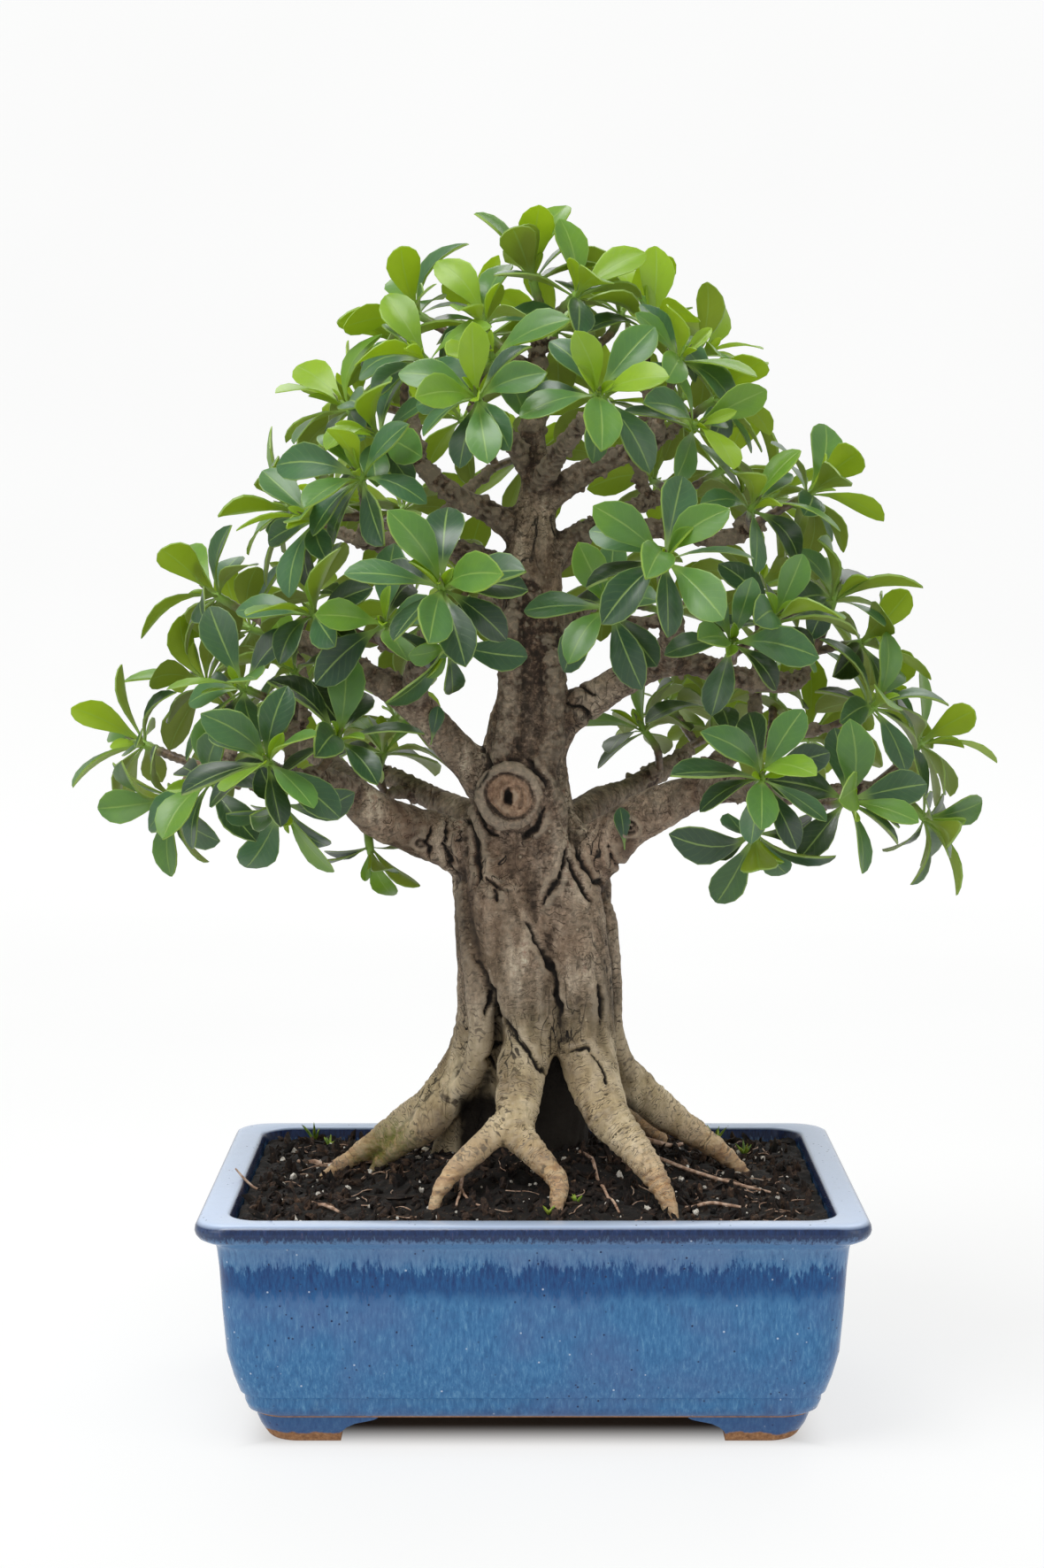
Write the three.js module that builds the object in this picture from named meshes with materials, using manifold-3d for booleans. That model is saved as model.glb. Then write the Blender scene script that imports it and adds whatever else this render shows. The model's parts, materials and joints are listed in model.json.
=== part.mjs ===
// Ficus bonsai in a glazed rectangular pot.
// Millimetres, +Z up. The origin is on the ground under the centre of the pot, and -Y is the front of the
// tree.
import * as THREE from 'three';
import { mergeVertices } from 'three/addons/utils/BufferGeometryUtils.js';
import Module from 'manifold-3d';

// Driving dimensions of the pot
const RIM_LENGTH = 260;
const RIM_DEPTH = 200;
const POT_HEIGHT = 91;
const FOOT_HEIGHT = 11;
const FLOOR_THICKNESS = 8;
const LIP_WIDTH = 12.5;
const DRAIN_RADIUS = 10;
const DRAIN_X = 58;
const SCREEN_SIDE = 28;
const SCREEN_THICKNESS = 1.6;
const SCREEN_BAR = 3;
const SCREEN_OPENINGS = 3;

// Driving dimensions of the soil and of the fits
const GAP = 0.3;
const SOIL_BELOW_RIM = 5;
const MOUND_HEIGHT = 17;
const MOUND_RADIUS = 52;
const CRUMB_HEIGHT = 1.1;
const ROOT_HOLE_GAP = 0.4;

// Driving dimensions of the foliage
const LEAF_LENGTH = 34;
const LEAF_WIDTH = 18.5;
const LEAF_THICKNESS = 1.5;
const LEAF_CLEARANCE = 0.25;
const SHOOT_STEM_LENGTH = 17;
const STEM_RADIUS = 1.9;
const BUD_RADIUS = 2.4;
const BUD_STRETCH = 1.5;
const TWIG_RADIUS = 2.3;
const TWIG_LENGTH = 14;
const TWIG_PULL = 2;
const FORKED_TWIG_PULL = 6;
const GOLDEN_ANGLE = THREE.MathUtils.degToRad(137.5);
const YOUNG_LEAF_OPEN = THREE.MathUtils.degToRad(25);
const OLD_LEAF_OPEN = THREE.MathUtils.degToRad(85);
const OPEN_WOBBLE = THREE.MathUtils.degToRad(12);
const OLD_LEAF_DROOP = 0.12;
const FACE_LIGHT = 0.35;

const FLOOR_TOP = FOOT_HEIGHT + FLOOR_THICKNESS;
const SOIL_EDGE_TOP = POT_HEIGHT - SOIL_BELOW_RIM;
const DEPTH_LESS = (RIM_LENGTH - RIM_DEPTH) / 2;

const wasm = await Module();
wasm.setup();

// Solids: joined and cut
function toSolid(geometry) {
  const bare = geometry.clone();
  bare.deleteAttribute('normal');
  bare.deleteAttribute('uv');
  const merged = mergeVertices(bare, 1e-4);
  return new wasm.Manifold(new wasm.Mesh({
    numProp: 3,
    vertProperties: new Float32Array(merged.attributes.position.array),
    triVerts: new Uint32Array(merged.index.array),
  }));
}

function toGeometry(solid) {
  const mesh = solid.getMesh();
  const geometry = new THREE.BufferGeometry();
  geometry.setAttribute('position', new THREE.BufferAttribute(new Float32Array(mesh.vertProperties), 3));
  geometry.setIndex(new THREE.BufferAttribute(new Uint32Array(mesh.triVerts), 1));
  geometry.computeVertexNormals();
  return geometry;
}

// The largest piece of a cut solid, without the loose scraps
function largestPiece(solid) {
  const pieces = solid.decompose();
  pieces.sort((p, q) => q.volume() - p.volume());
  return pieces[0];
}

// A steady draw between 0 and 1 for a whole-number seed
function draw(seed) {
  const wave = Math.sin(seed * 12.9898 + 78.233) * 43758.5453;
  return wave - Math.floor(wave);
}

// Pot: a lathe profile whose round plan is opened out to a rectangle with rounded corners
const CORNER_STEPS = 4;

function roundedPlan(sideSteps) {
  const plan = [];
  for (let quarter = 0; quarter < 4; quarter += 1) {
    const signX = quarter === 0 || quarter === 3 ? 1 : -1;
    const signY = quarter < 2 ? 1 : -1;
    for (let step = 0; step < CORNER_STEPS; step += 1) {
      const angle = (quarter + step / (CORNER_STEPS - 1)) * Math.PI / 2;
      plan.push({ coreX: signX, coreY: signY, outX: Math.cos(angle), outY: Math.sin(angle) });
    }
    const angle = (quarter + 1) * Math.PI / 2;
    const outX = Math.round(Math.cos(angle));
    const outY = Math.round(Math.sin(angle));
    for (let step = 1; step < sideSteps; step += 1) {
      const along = 1 - 2 * step / sideSteps;
      plan.push({
        coreX: outX === 0 ? signX * along : outX,
        coreY: outY === 0 ? signY * along : outY,
        outX,
        outY,
      });
    }
  }
  return plan;
}

// profile: [half length, height, corner radius, half depth if it isn't the half length less DEPTH_LESS]
function planLathe(profile, plan, lift = () => 0) {
  const outline = profile.map(([halfLength, height]) => new THREE.Vector2(halfLength, height));
  const geometry = new THREE.LatheGeometry(outline, plan.length);
  const position = geometry.attributes.position;
  for (let index = 0; index < position.count; index += 1) {
    const spot = plan[Math.floor(index / profile.length) % plan.length];
    const [halfLength, height, corner, ownDepth] = profile[index % profile.length];
    const halfDepth = ownDepth ?? halfLength - DEPTH_LESS;
    const x = spot.coreX * (halfLength - corner) + spot.outX * corner;
    const y = spot.coreY * (halfDepth - corner) + spot.outY * corner;
    position.setXYZ(index, x, y, height + lift(x, y, height));
  }
  return geometry;
}

function planSolid(profile, plan, lift) {
  return toSolid(planLathe(profile, plan, lift));
}

const HALF = RIM_LENGTH / 2;
const INNER_WALL = [
  [HALF - LIP_WIDTH - 0.5, POT_HEIGHT - 1, 7],
  [HALF - 16, 62, 8],
  [HALF - 20, 34, 9],
  [HALF - 25, FLOOR_TOP + 1.5, 10],
  [HALF - 29, FLOOR_TOP, 10],
];

function potBody() {
  const plan = roundedPlan(1);
  const outer = [
    [0, FOOT_HEIGHT, 0, 0],
    [HALF - 21, FOOT_HEIGHT, 12],
    [HALF - 18.5, FOOT_HEIGHT + 2, 13],
    [HALF - 17, FOOT_HEIGHT + 8.5, 13],
    [HALF - 15.6, FOOT_HEIGHT + 9.3, 13],
    [HALF - 13.4, FOOT_HEIGHT + 16, 13],
    [HALF - 11, FOOT_HEIGHT + 26, 13],
    [HALF - 8.6, POT_HEIGHT - 20, 13],
    [HALF - 7.6, POT_HEIGHT - 11.5, 13],
    [HALF - 6.2, POT_HEIGHT - 9.6, 12],
    [HALF - 3.4, POT_HEIGHT - 8.2, 11],
    [HALF - 0.9, POT_HEIGHT - 6.2, 10],
    [HALF, POT_HEIGHT - 4, 9],
    [HALF - 0.3, POT_HEIGHT - 1.6, 9],
    [HALF - 2, POT_HEIGHT, 8],
    [HALF - LIP_WIDTH, POT_HEIGHT, 7],
  ];
  return planSolid([...outer, ...INNER_WALL, [0, FLOOR_TOP, 0, 0]], plan);
}

// The gap between two feet: flat under the floor, hollowed in to a wider mouth at the ground
function footGap(halfTop, halfMouth, run) {
  const shape = new THREE.Shape();
  shape.moveTo(-halfMouth, -2);
  shape.lineTo(halfMouth, -2);
  shape.lineTo(halfMouth, 3.2);
  shape.quadraticCurveTo(halfMouth - 2, 8, halfTop + 4, 9.2);
  shape.quadraticCurveTo(halfTop, 9.8, halfTop, FOOT_HEIGHT);
  shape.lineTo(halfTop, FOOT_HEIGHT + 3);
  shape.lineTo(-halfTop, FOOT_HEIGHT + 3);
  shape.lineTo(-halfTop, FOOT_HEIGHT);
  shape.quadraticCurveTo(-halfTop, 9.8, -halfTop - 4, 9.2);
  shape.quadraticCurveTo(2 - halfMouth, 8, -halfMouth, 3.2);
  const geometry = new THREE.ExtrudeGeometry(shape, { depth: run, bevelEnabled: false, curveSegments: 3 });
  geometry.translate(0, 0, -run / 2);
  geometry.rotateX(Math.PI / 2);
  return geometry;
}

function potFeet() {
  const plan = roundedPlan(1);
  const footTop = FOOT_HEIGHT + 1;
  const block = planSolid([
    [0, 0, 0, 0],
    [HALF - 27, 0, 11],
    [HALF - 26, 0.8, 11],
    [HALF - 23, 6, 12],
    [HALF - 21.5, footTop, 12],
    [0, footTop, 0, 0],
  ], plan);
  const inside = planSolid([
    [0, -1, 0, 0],
    [HALF - 47, -1, 6],
    [HALF - 47, footTop + 1, 6],
    [0, footTop + 1, 0, 0],
  ], plan);
  const frontGap = toSolid(footGap(60, 75, RIM_DEPTH * 1.2));
  const endGap = toSolid(footGap(34, 48, RIM_LENGTH * 1.2).rotateZ(Math.PI / 2));
  return block.subtract(inside).subtract(frontGap).subtract(endGap);
}

function drain(x) {
  const hole = new THREE.CylinderGeometry(DRAIN_RADIUS, DRAIN_RADIUS, FLOOR_THICKNESS * 3, 16);
  hole.rotateX(Math.PI / 2);
  hole.translate(x, 0, FOOT_HEIGHT + FLOOR_THICKNESS / 2);
  return toSolid(hole);
}

function makePot() {
  const open = potBody().subtract(drain(-DRAIN_X)).subtract(drain(DRAIN_X));
  return open.add(potFeet());
}

// Screens over the drain holes: square plates of plastic mesh
function makeScreen(x) {
  const pitch = (SCREEN_SIDE - SCREEN_BAR) / SCREEN_OPENINGS;
  const opening = pitch - SCREEN_BAR;
  const middle = FLOOR_TOP + GAP + SCREEN_THICKNESS / 2;
  const plate = new THREE.BoxGeometry(SCREEN_SIDE, SCREEN_SIDE, SCREEN_THICKNESS).translate(x, 0, middle);
  let screen = toSolid(plate);
  for (let row = 0; row < SCREEN_OPENINGS; row += 1) {
    for (let column = 0; column < SCREEN_OPENINGS; column += 1) {
      const hole = new THREE.BoxGeometry(opening, opening, SCREEN_THICKNESS * 3);
      const offset = (SCREEN_OPENINGS - 1) / 2;
      hole.translate(x + (column - offset) * pitch, (row - offset) * pitch, middle);
      screen = screen.subtract(toSolid(hole));
    }
  }
  return screen;
}

// Wood: tapered limbs bent along a curve, all grown together as one body
function limbGeometry(points, sides, rings, grow = 0, flute = 0) {
  const curve = new THREE.CatmullRomCurve3(points.map(([x, y, z]) => new THREE.Vector3(x, y, z)));
  const frames = [];
  let across = new THREE.Vector3(0.31, -0.87, 0.38);
  for (let ring = 0; ring <= rings; ring += 1) {
    const t = ring / rings;
    const place = t * (points.length - 1);
    const before = Math.min(Math.floor(place), points.length - 2);
    const radius = THREE.MathUtils.lerp(points[before][3], points[before + 1][3], place - before);
    const tangent = curve.getTangent(t);
    across = across.clone().addScaledVector(tangent, -across.dot(tangent)).normalize();
    frames.push({
      centre: curve.getPoint(t),
      across,
      aside: new THREE.Vector3().crossVectors(across, tangent),
      radius: radius + grow,
    });
  }
  const geometry = new THREE.CylinderGeometry(1, 1, 1, sides, rings);
  const position = geometry.attributes.position;
  for (let index = 0; index < position.count; index += 1) {
    const frame = frames[Math.round((position.getY(index) + 0.5) * rings)];
    const x = position.getX(index);
    const z = position.getZ(index);
    const swell = 1 + flute * Math.cos(3 * Math.atan2(z, x) + frame.centre.z * 0.06);
    const point = frame.centre.clone()
      .addScaledVector(frame.across, x * frame.radius * swell)
      .addScaledVector(frame.aside, z * frame.radius * swell);
    position.setXYZ(index, point.x, point.y, point.z);
  }
  return geometry;
}

function limbSolid(points, sides, rings, grow, flute) {
  return toSolid(limbGeometry(points, sides, rings, grow, flute));
}

// Points are [x, y, z, radius]. The trunk tapers from the root collar to the top of the leader.
const TRUNK = [
  [2, 0, 74, 22], [2, 1, 104, 24], [2, 1, 140, 23.5], [1, 2, 170, 23.5], [0, 2, 200, 24],
  [-2, 1, 222, 23.5], [-4, 0, 240, 21], [-4, 0, 262, 17.5], [-1, 1, 282, 14.4], [0, 2, 300, 13.2],
  [0, 3, 318, 13], [0, 3, 336, 12], [0, 3, 354, 9.8], [2, 2, 370, 7.4], [0, 0, 388, 5.4],
  [0, 0, 406, 4.4], [2, 0, 424, 3.4], [2, -2, 438, 2.4],
];

// Strands fused into the lower trunk, with the creases between them. Each runs on as a surface root, lies
// over the mound and goes down into the soil.
const STRANDS = [
  [
    [-17, -10, 226, 10], [-13, -17, 204, 12.5], [-5, -21, 176, 13.5], [0, -22, 156, 12],
    [-4, -28, 140, 10.5], [-6, -40, 126, 9], [-6, -47, 116, 7], [2, -53, 108, 5.4], [10, -59, 99, 4.3],
    [9, -64, 90, 3.4], [5, -68, 79, 2.2],
  ],
  [
    [14, -6, 228, 9], [16, -15, 204, 12.5], [19, -19, 176, 13], [21, -20, 152, 12.5], [24, -30, 136, 11],
    [30, -41, 122, 9], [40, -49, 111, 7], [48, -57, 101, 5.2], [53, -63, 92, 4], [57, -70, 78, 2.4],
  ],
  [
    [-25, 0, 216, 7], [-22, -7, 192, 9.6], [-21, -6, 164, 10.4], [-24, 0, 140, 11], [-37, 2, 122, 9],
    [-54, 5, 109, 7], [-70, 7, 98, 4.8], [-85, 4, 88, 3.2], [-93, 2, 78, 2],
  ],
  [
    [25, 2, 214, 6], [23, 2, 184, 8.6], [25, 2, 156, 9.4], [31, 1, 138, 9.6], [44, 1, 124, 8.5],
    [60, 3, 111, 6.6], [75, 6, 100, 4.8], [87, 8, 89, 3.4], [95, 9, 78, 2.2],
  ],
  [
    [-14, 14, 222, 9], [-16, 19, 186, 11.8], [-16, 24, 154, 11.6], [-21, 31, 134, 10.4],
    [-31, 43, 119, 8.4], [-43, 56, 104, 6], [-54, 66, 92, 4], [-62, 73, 78, 2.4],
  ],
  [
    [10, 15, 222, 9], [12, 19, 186, 12.2], [13, 24, 154, 12], [19, 32, 136, 10.6], [29, 43, 121, 8.4],
    [41, 55, 106, 6.2], [54, 63, 93, 4], [64, 69, 78, 2.4],
  ],
  [
    [0, 18, 160, 10], [-1, 36, 128, 9.4], [-5, 52, 109, 7], [-8, 64, 96, 5], [-10, 74, 87, 3.2],
    [-11, 79, 77, 2],
  ],
];

// Forks of the surface roots
const ROOT_FORKS = [
  [[-28, -3, 130, 8], [-44, -5, 110, 6.5], [-56, 1, 100, 4.6], [-65, 6, 90, 3.2], [-71, 8, 79, 2]],
  [
    [-6, -42, 122, 7], [-14, -47, 117, 6], [-24, -52, 109, 4.8], [-33, -57, 101, 3.9], [-38, -61, 93, 3.2],
    [-40, -65, 79, 2.2],
  ],
  [[34, 4, 132, 7], [50, 16, 113, 5.6], [64, 27, 101, 4], [78, 36, 90, 2.8], [86, 41, 78, 2]],
  [[-28, 40, 120, 6], [-46, 44, 106, 5], [-62, 48, 95, 3.6], [-74, 54, 79, 2.2]],
];

// Branches, with the forks that carry the foliage
const BRANCHES = [
  [
    [-8, 0, 212, 14], [-28, -5, 225, 11.5], [-48, -10, 233, 9.6], [-62, -14, 239, 9.2], [-74, -18, 249, 8],
    [-86, -20, 253, 4.8], [-108, -18, 254, 3.8], [-142, 3, 261, 2.5],
  ],
  [[-72, -18, 249, 6], [-82, -38, 256, 4.6], [-92, -54, 259, 3.6], [-98, -64, 261, 2.6]],
  [[-70, -14, 247, 6], [-80, 8, 256, 4.6], [-92, 34, 262, 3.8], [-100, 54, 266, 2.6]],
  [
    [-10, 0, 242, 11], [-23, -3, 256, 8.4], [-36, -8, 271, 7.4], [-51, -13, 287, 7], [-68, -16, 297, 5.2],
    [-92, -14, 310, 3.8], [-114, -6, 320, 2.4],
  ],
  [
    [-47, -12, 282, 5.6], [-47, -24, 294, 4.8], [-43, -44, 308, 4], [-38, -66, 318, 3.4],
    [-35, -80, 322, 2.6],
  ],
  [[0, 2, 348, 7], [-17, 0, 361, 4.6], [-30, -4, 367, 4], [-44, -7, 379, 3.4], [-58, -8, 388, 2.6]],
  [[0, 3, 332, 7], [-29, 5, 346, 3.9], [-50, 3, 350, 3.3], [-68, 0, 349, 3], [-84, 2, 355, 2.4]],
  [[0, 0, 376, 5], [-8, -9, 389, 3.8], [-16, -22, 396, 3.2], [-22, -40, 400, 2.8], [-23, -54, 401, 2.2]],
  [[2, 2, 364, 7], [16, -3, 374, 5], [28, -8, 381, 4.6], [44, -10, 387, 3.8], [60, -8, 394, 2.8]],
  [[2, -2, 372, 5], [10, -20, 384, 3.6], [17, -38, 393, 3], [22, -52, 400, 2.3]],
  [
    [0, 2, 336, 8], [17, 4, 351, 4.6], [34, 6, 356, 4], [52, 4, 354, 3.5],
    [74, 1, 350, 3.1], [94, 0, 356, 2.5],
  ],
  [
    [0, 0, 262, 12], [12, -4, 278, 8.4], [27, -10, 288, 7.4], [42, -15, 297, 6.6], [58, -18, 302, 5.4],
    [82, -14, 295, 4.4], [104, -9, 293, 3.7], [124, -4, 298, 2.6],
  ],
  [[53, -17, 299, 5.4], [55, -34, 314, 4.8], [53, -54, 325, 4.2], [51, -76, 331, 3]],
  [
    [8, 0, 200, 14], [22, -5, 219, 11.5], [37, -10, 234, 10], [52, -16, 243, 9], [68, -21, 250, 7],
    [92, -23, 251, 5], [122, -17, 248, 4], [150, -5, 253, 2.6],
  ],
  [[68, -22, 250, 6], [76, -42, 254, 4.8], [82, -58, 256, 3.8], [84, -72, 257, 2.8]],
  [[60, -16, 246, 6], [72, 6, 256, 4.8], [86, 34, 262, 3.8], [96, 58, 266, 2.6]],
  [[-6, 6, 220, 11], [-24, 28, 233, 7.6], [-42, 50, 240, 5.4], [-62, 72, 248, 3.8], [-78, 84, 255, 2.5]],
  [[8, 8, 226, 10], [24, 32, 238, 7], [42, 56, 244, 5], [62, 76, 254, 3.6], [78, 86, 263, 2.5]],
  [[0, 6, 288, 8], [0, 32, 306, 5.6], [-10, 58, 318, 4.2], [-20, 84, 324, 2.6]],
  [[-2, 36, 308, 5], [16, 58, 318, 4], [34, 82, 326, 2.6]],
  [[-2, 6, 322, 8], [-24, 24, 340, 5], [-46, 42, 352, 3.8], [-66, 56, 358, 2.5]],
  [[4, 6, 338, 7], [24, 24, 354, 4.6], [44, 42, 364, 3.6], [62, 54, 370, 2.4]],
  [[0, 2, 384, 4.6], [2, 22, 400, 3.4], [4, 42, 410, 2.2]],
];

// Foliage: each spray is one leafy stem with one or two rosettes, [x, y, z] of the rosette's heart and
// the way it faces. leaves is how many it holds, size how long they are against LEAF_LENGTH, and spread how
// wide they open.
const SPRAYS = [
  [
    { heart: [0, -5, 452], faces: [0, 0, 1], leaves: 6, size: 1.08, spread: 0.6 },
    { heart: [17, -15, 446], faces: [0.35, -0.25, 0.95], leaves: 5 },
  ],
  [
    { heart: [-19, -18, 435], faces: [-0.3, -0.4, 0.9], leaves: 5 },
    { heart: [-46, 4, 440], faces: [-0.65, 0, 0.75], leaves: 5 },
  ],
  [
    { heart: [-41, -32, 419], faces: [-0.5, -0.45, 0.75], leaves: 5 },
    { heart: [-16, -46, 420], faces: [-0.1, -0.75, 0.65], leaves: 4 },
  ],
  [
    { heart: [46, -6, 433], faces: [0.5, -0.2, 0.8], leaves: 5 },
    { heart: [67, 14, 424], faces: [0.8, 0.15, 0.5], leaves: 5 },
  ],
  [
    { heart: [57, -32, 420], faces: [0.5, -0.5, 0.65], leaves: 5 },
    { heart: [62, -44, 394], faces: [0.55, -0.75, 0.3], leaves: 4 },
  ],
  [{ heart: [24, -72, 405], faces: [0.15, -0.95, 0.4], leaves: 6 }],
  [{ heart: [-21, -74, 404], faces: [-0.15, -0.85, 0.5], leaves: 6 }],
  [
    { heart: [-74, 0, 402], faces: [-0.7, -0.05, 0.75], leaves: 6 },
    { heart: [-60, -34, 390], faces: [-0.6, -0.6, 0.5], leaves: 5 },
  ],
  [{ heart: [73, 0, 406], faces: [0.8, 0, 0.55], leaves: 6 }],
  [
    { heart: [-66, -54, 374], faces: [-0.4, -0.75, 0.5], leaves: 5 },
    { heart: [-85, -34, 358], faces: [-0.75, -0.5, 0.35], leaves: 5 },
  ],
  [{ heart: [-97, 10, 362], faces: [-0.9, 0.05, 0.4], leaves: 6 }],
  [
    { heart: [85, -38, 362], faces: [0.45, -0.6, 0.65], leaves: 5 },
    { heart: [111, 2, 368], faces: [0.85, 0, 0.5], leaves: 6 },
  ],
  [{ heart: [49, -97, 343], faces: [0, -0.88, 0.48], leaves: 7, size: 1.05 }],
  [
    { heart: [-34, -102, 333], faces: [-0.05, -0.88, 0.48], leaves: 7, size: 1.05 },
    { heart: [-32, -86, 312], faces: [0.1, -0.6, -0.7], leaves: 3, size: 0.9 },
  ],
  [
    { heart: [-57, -64, 318], faces: [-0.15, -0.85, 0.4], leaves: 4 },
    { heart: [-85, -50, 321], faces: [-0.5, -0.6, 0.6], leaves: 5 },
  ],
  [{ heart: [-127, 0, 327], faces: [-0.85, 0, 0.5], leaves: 6 }],
  [
    { heart: [-95, -14, 297], faces: [-0.4, -0.4, 0.75], leaves: 4 },
    { heart: [-113, -42, 292], faces: [-0.6, -0.65, 0.45], leaves: 5 },
  ],
  [{ heart: [-135, 26, 290], faces: [-0.75, 0.3, 0.55], leaves: 6 }],
  [
    { heart: [-159, 12, 266], faces: [-0.92, 0.1, 0.35], leaves: 6 },
    { heart: [-143, -22, 247], faces: [-0.75, -0.4, -0.5], leaves: 5 },
  ],
  [
    { heart: [-101, -80, 266], faces: [-0.1, -0.9, 0.4], leaves: 7 },
    { heart: [-97, -58, 249], faces: [0, -0.5, -0.8], leaves: 4 },
  ],
  [{ heart: [-76, -60, 273], faces: [0.3, -0.7, 0.6], leaves: 4 }],
  [{ heart: [-63, 52, 259], faces: [0.15, 0.15, 0.95], leaves: 4 }],
  [{ heart: [-126, -48, 256], faces: [-0.5, -0.8, 0.1], leaves: 4 }],
  [{ heart: [-66, -8, 226], faces: [0.1, -0.2, -0.95], leaves: 2, size: 0.85 }],
  [{ heart: [30, -58, 324], faces: [-0.35, -0.75, 0.3], leaves: 5 }],
  [
    { heart: [76, -66, 311], faces: [0.15, -0.9, 0.3], leaves: 4 },
    { heart: [93, -52, 318], faces: [0.4, -0.6, 0.65], leaves: 5 },
  ],
  [
    { heart: [120, -16, 326], faces: [0.35, -0.25, 0.9], leaves: 5 },
    { heart: [133, 2, 308], faces: [0.9, 0, 0.4], leaves: 5 },
  ],
  [{ heart: [48, 58, 268], faces: [-0.5, 0.1, 0.85], leaves: 5 }],
  [{ heart: [77, 40, 278], faces: [0, 0.1, 0.95], leaves: 4 }],
  [{ heart: [135, -28, 284], faces: [0.5, -0.45, 0.7], leaves: 5 }],
  [
    { heart: [158, 6, 267], faces: [0.85, 0.05, 0.5], leaves: 6 },
    { heart: [158, -12, 238], faces: [0.85, -0.2, -0.4], leaves: 5 },
  ],
  [
    { heart: [86, -90, 261], faces: [0, -0.9, 0.4], leaves: 7 },
    { heart: [85, -68, 238], faces: [0.05, -0.5, -0.8], leaves: 4 },
  ],
  [{ heart: [121, -62, 250], faces: [0.35, -0.85, 0.2], leaves: 6 }],
  [
    { heart: [-120, 62, 262], faces: [-0.7, 0.55, 0.4], leaves: 5 },
    { heart: [-100, 84, 280], faces: [-0.3, 0.6, 0.75], leaves: 4 },
  ],
  [
    { heart: [-88, 105, 258], faces: [-0.4, 0.85, 0.3], leaves: 6 },
    { heart: [-60, 107, 270], faces: [0.1, 0.8, 0.6], leaves: 3 },
  ],
  [
    { heart: [86, 105, 264], faces: [0.4, 0.85, 0.3], leaves: 6 },
    { heart: [60, 107, 276], faces: [-0.1, 0.8, 0.6], leaves: 3 },
  ],
  [
    { heart: [118, 68, 264], faces: [0.7, 0.6, 0.35], leaves: 5 },
    { heart: [104, 78, 284], faces: [0.3, 0.5, 0.8], leaves: 4 },
  ],
  [{ heart: [140, 36, 280], faces: [0.8, 0.4, 0.45], leaves: 5 }],
  [
    { heart: [-118, 44, 312], faces: [-0.7, 0.45, 0.55], leaves: 5 },
    { heart: [-94, 66, 322], faces: [-0.35, 0.6, 0.7], leaves: 4 },
  ],
  [
    { heart: [-28, 107, 330], faces: [-0.2, 0.9, 0.4], leaves: 6 },
    { heart: [-48, 96, 312], faces: [-0.5, 0.8, 0.2], leaves: 4 },
  ],
  [
    { heart: [32, 107, 334], faces: [0.2, 0.9, 0.4], leaves: 6 },
    { heart: [56, 96, 318], faces: [0.5, 0.8, 0.2], leaves: 4 },
  ],
  [
    { heart: [96, 70, 328], faces: [0.5, 0.6, 0.6], leaves: 5 },
    { heart: [118, 40, 322], faces: [0.8, 0.35, 0.5], leaves: 4 },
  ],
  [
    { heart: [-84, 70, 364], faces: [-0.55, 0.6, 0.55], leaves: 5 },
    { heart: [-56, 84, 362], faces: [-0.25, 0.85, 0.45], leaves: 4 },
  ],
  [
    { heart: [80, 66, 378], faces: [0.5, 0.6, 0.6], leaves: 5 },
    { heart: [52, 82, 374], faces: [0.2, 0.85, 0.45], leaves: 4 },
  ],
  [{ heart: [98, 34, 366], faces: [0.75, 0.45, 0.5], leaves: 5 }],
  [
    { heart: [-2, 84, 384], faces: [0, 0.9, 0.4], leaves: 6 },
    { heart: [-30, 72, 400], faces: [-0.3, 0.75, 0.6], leaves: 4 },
  ],
  [
    { heart: [-70, 40, 404], faces: [-0.65, 0.5, 0.55], leaves: 5 },
    { heart: [-52, 20, 428], faces: [-0.6, 0.2, 0.75], leaves: 5 },
  ],
  [
    { heart: [30, 66, 408], faces: [0.25, 0.8, 0.55], leaves: 5 },
    { heart: [62, 46, 408], faces: [0.6, 0.5, 0.6], leaves: 4 },
  ],
  [
    { heart: [-18, 40, 434], faces: [-0.2, 0.55, 0.8], leaves: 5 },
    { heart: [10, 46, 436], faces: [0.1, 0.65, 0.75], leaves: 4 },
  ],
  [{ heart: [36, 26, 442], faces: [0.45, 0.35, 0.8], leaves: 5 }],
];

const vector = ([x, y, z]) => new THREE.Vector3(x, y, z);

function plannedShoots(spray) {
  return spray.map((shoot) => {
    const heart = vector(shoot.heart);
    const axis = vector(shoot.faces).normalize();
    return { ...shoot, heart, axis, foot: heart.clone().addScaledVector(axis, -SHOOT_STEM_LENGTH) };
  });
}

function middleOf(points) {
  const middle = new THREE.Vector3();
  for (const point of points) {
    middle.addScaledVector(point, 1 / points.length);
  }
  return middle;
}

// Branches end a twig's length short of the spray they carry
function shortened(branch, middles) {
  const tip = vector(branch[branch.length - 1]);
  const carried = middles.reduce((near, middle) => (
    middle.distanceTo(tip) < near.distanceTo(tip) ? middle : near));
  const kept = [...branch];
  while (kept.length > 2 && vector(kept[kept.length - 1]).distanceTo(carried) < TWIG_LENGTH) {
    const last = kept.pop();
    const before = kept[kept.length - 1];
    if (vector(before).distanceTo(carried) > TWIG_LENGTH) {
      const spare = vector(before).distanceTo(carried) - TWIG_LENGTH;
      const share = Math.min(spare / vector(before).distanceTo(vector(last)), 1);
      kept.push(before.map((value, index) => THREE.MathUtils.lerp(value, last[index], share)));
      break;
    }
  }
  return kept;
}

const shootGroups = SPRAYS.map(plannedShoots);
const groupMiddles = shootGroups.map((shoots) => middleOf(shoots.map((shoot) => shoot.foot)));
const limbs = BRANCHES.map((branch) => shortened(branch, groupMiddles));

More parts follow.
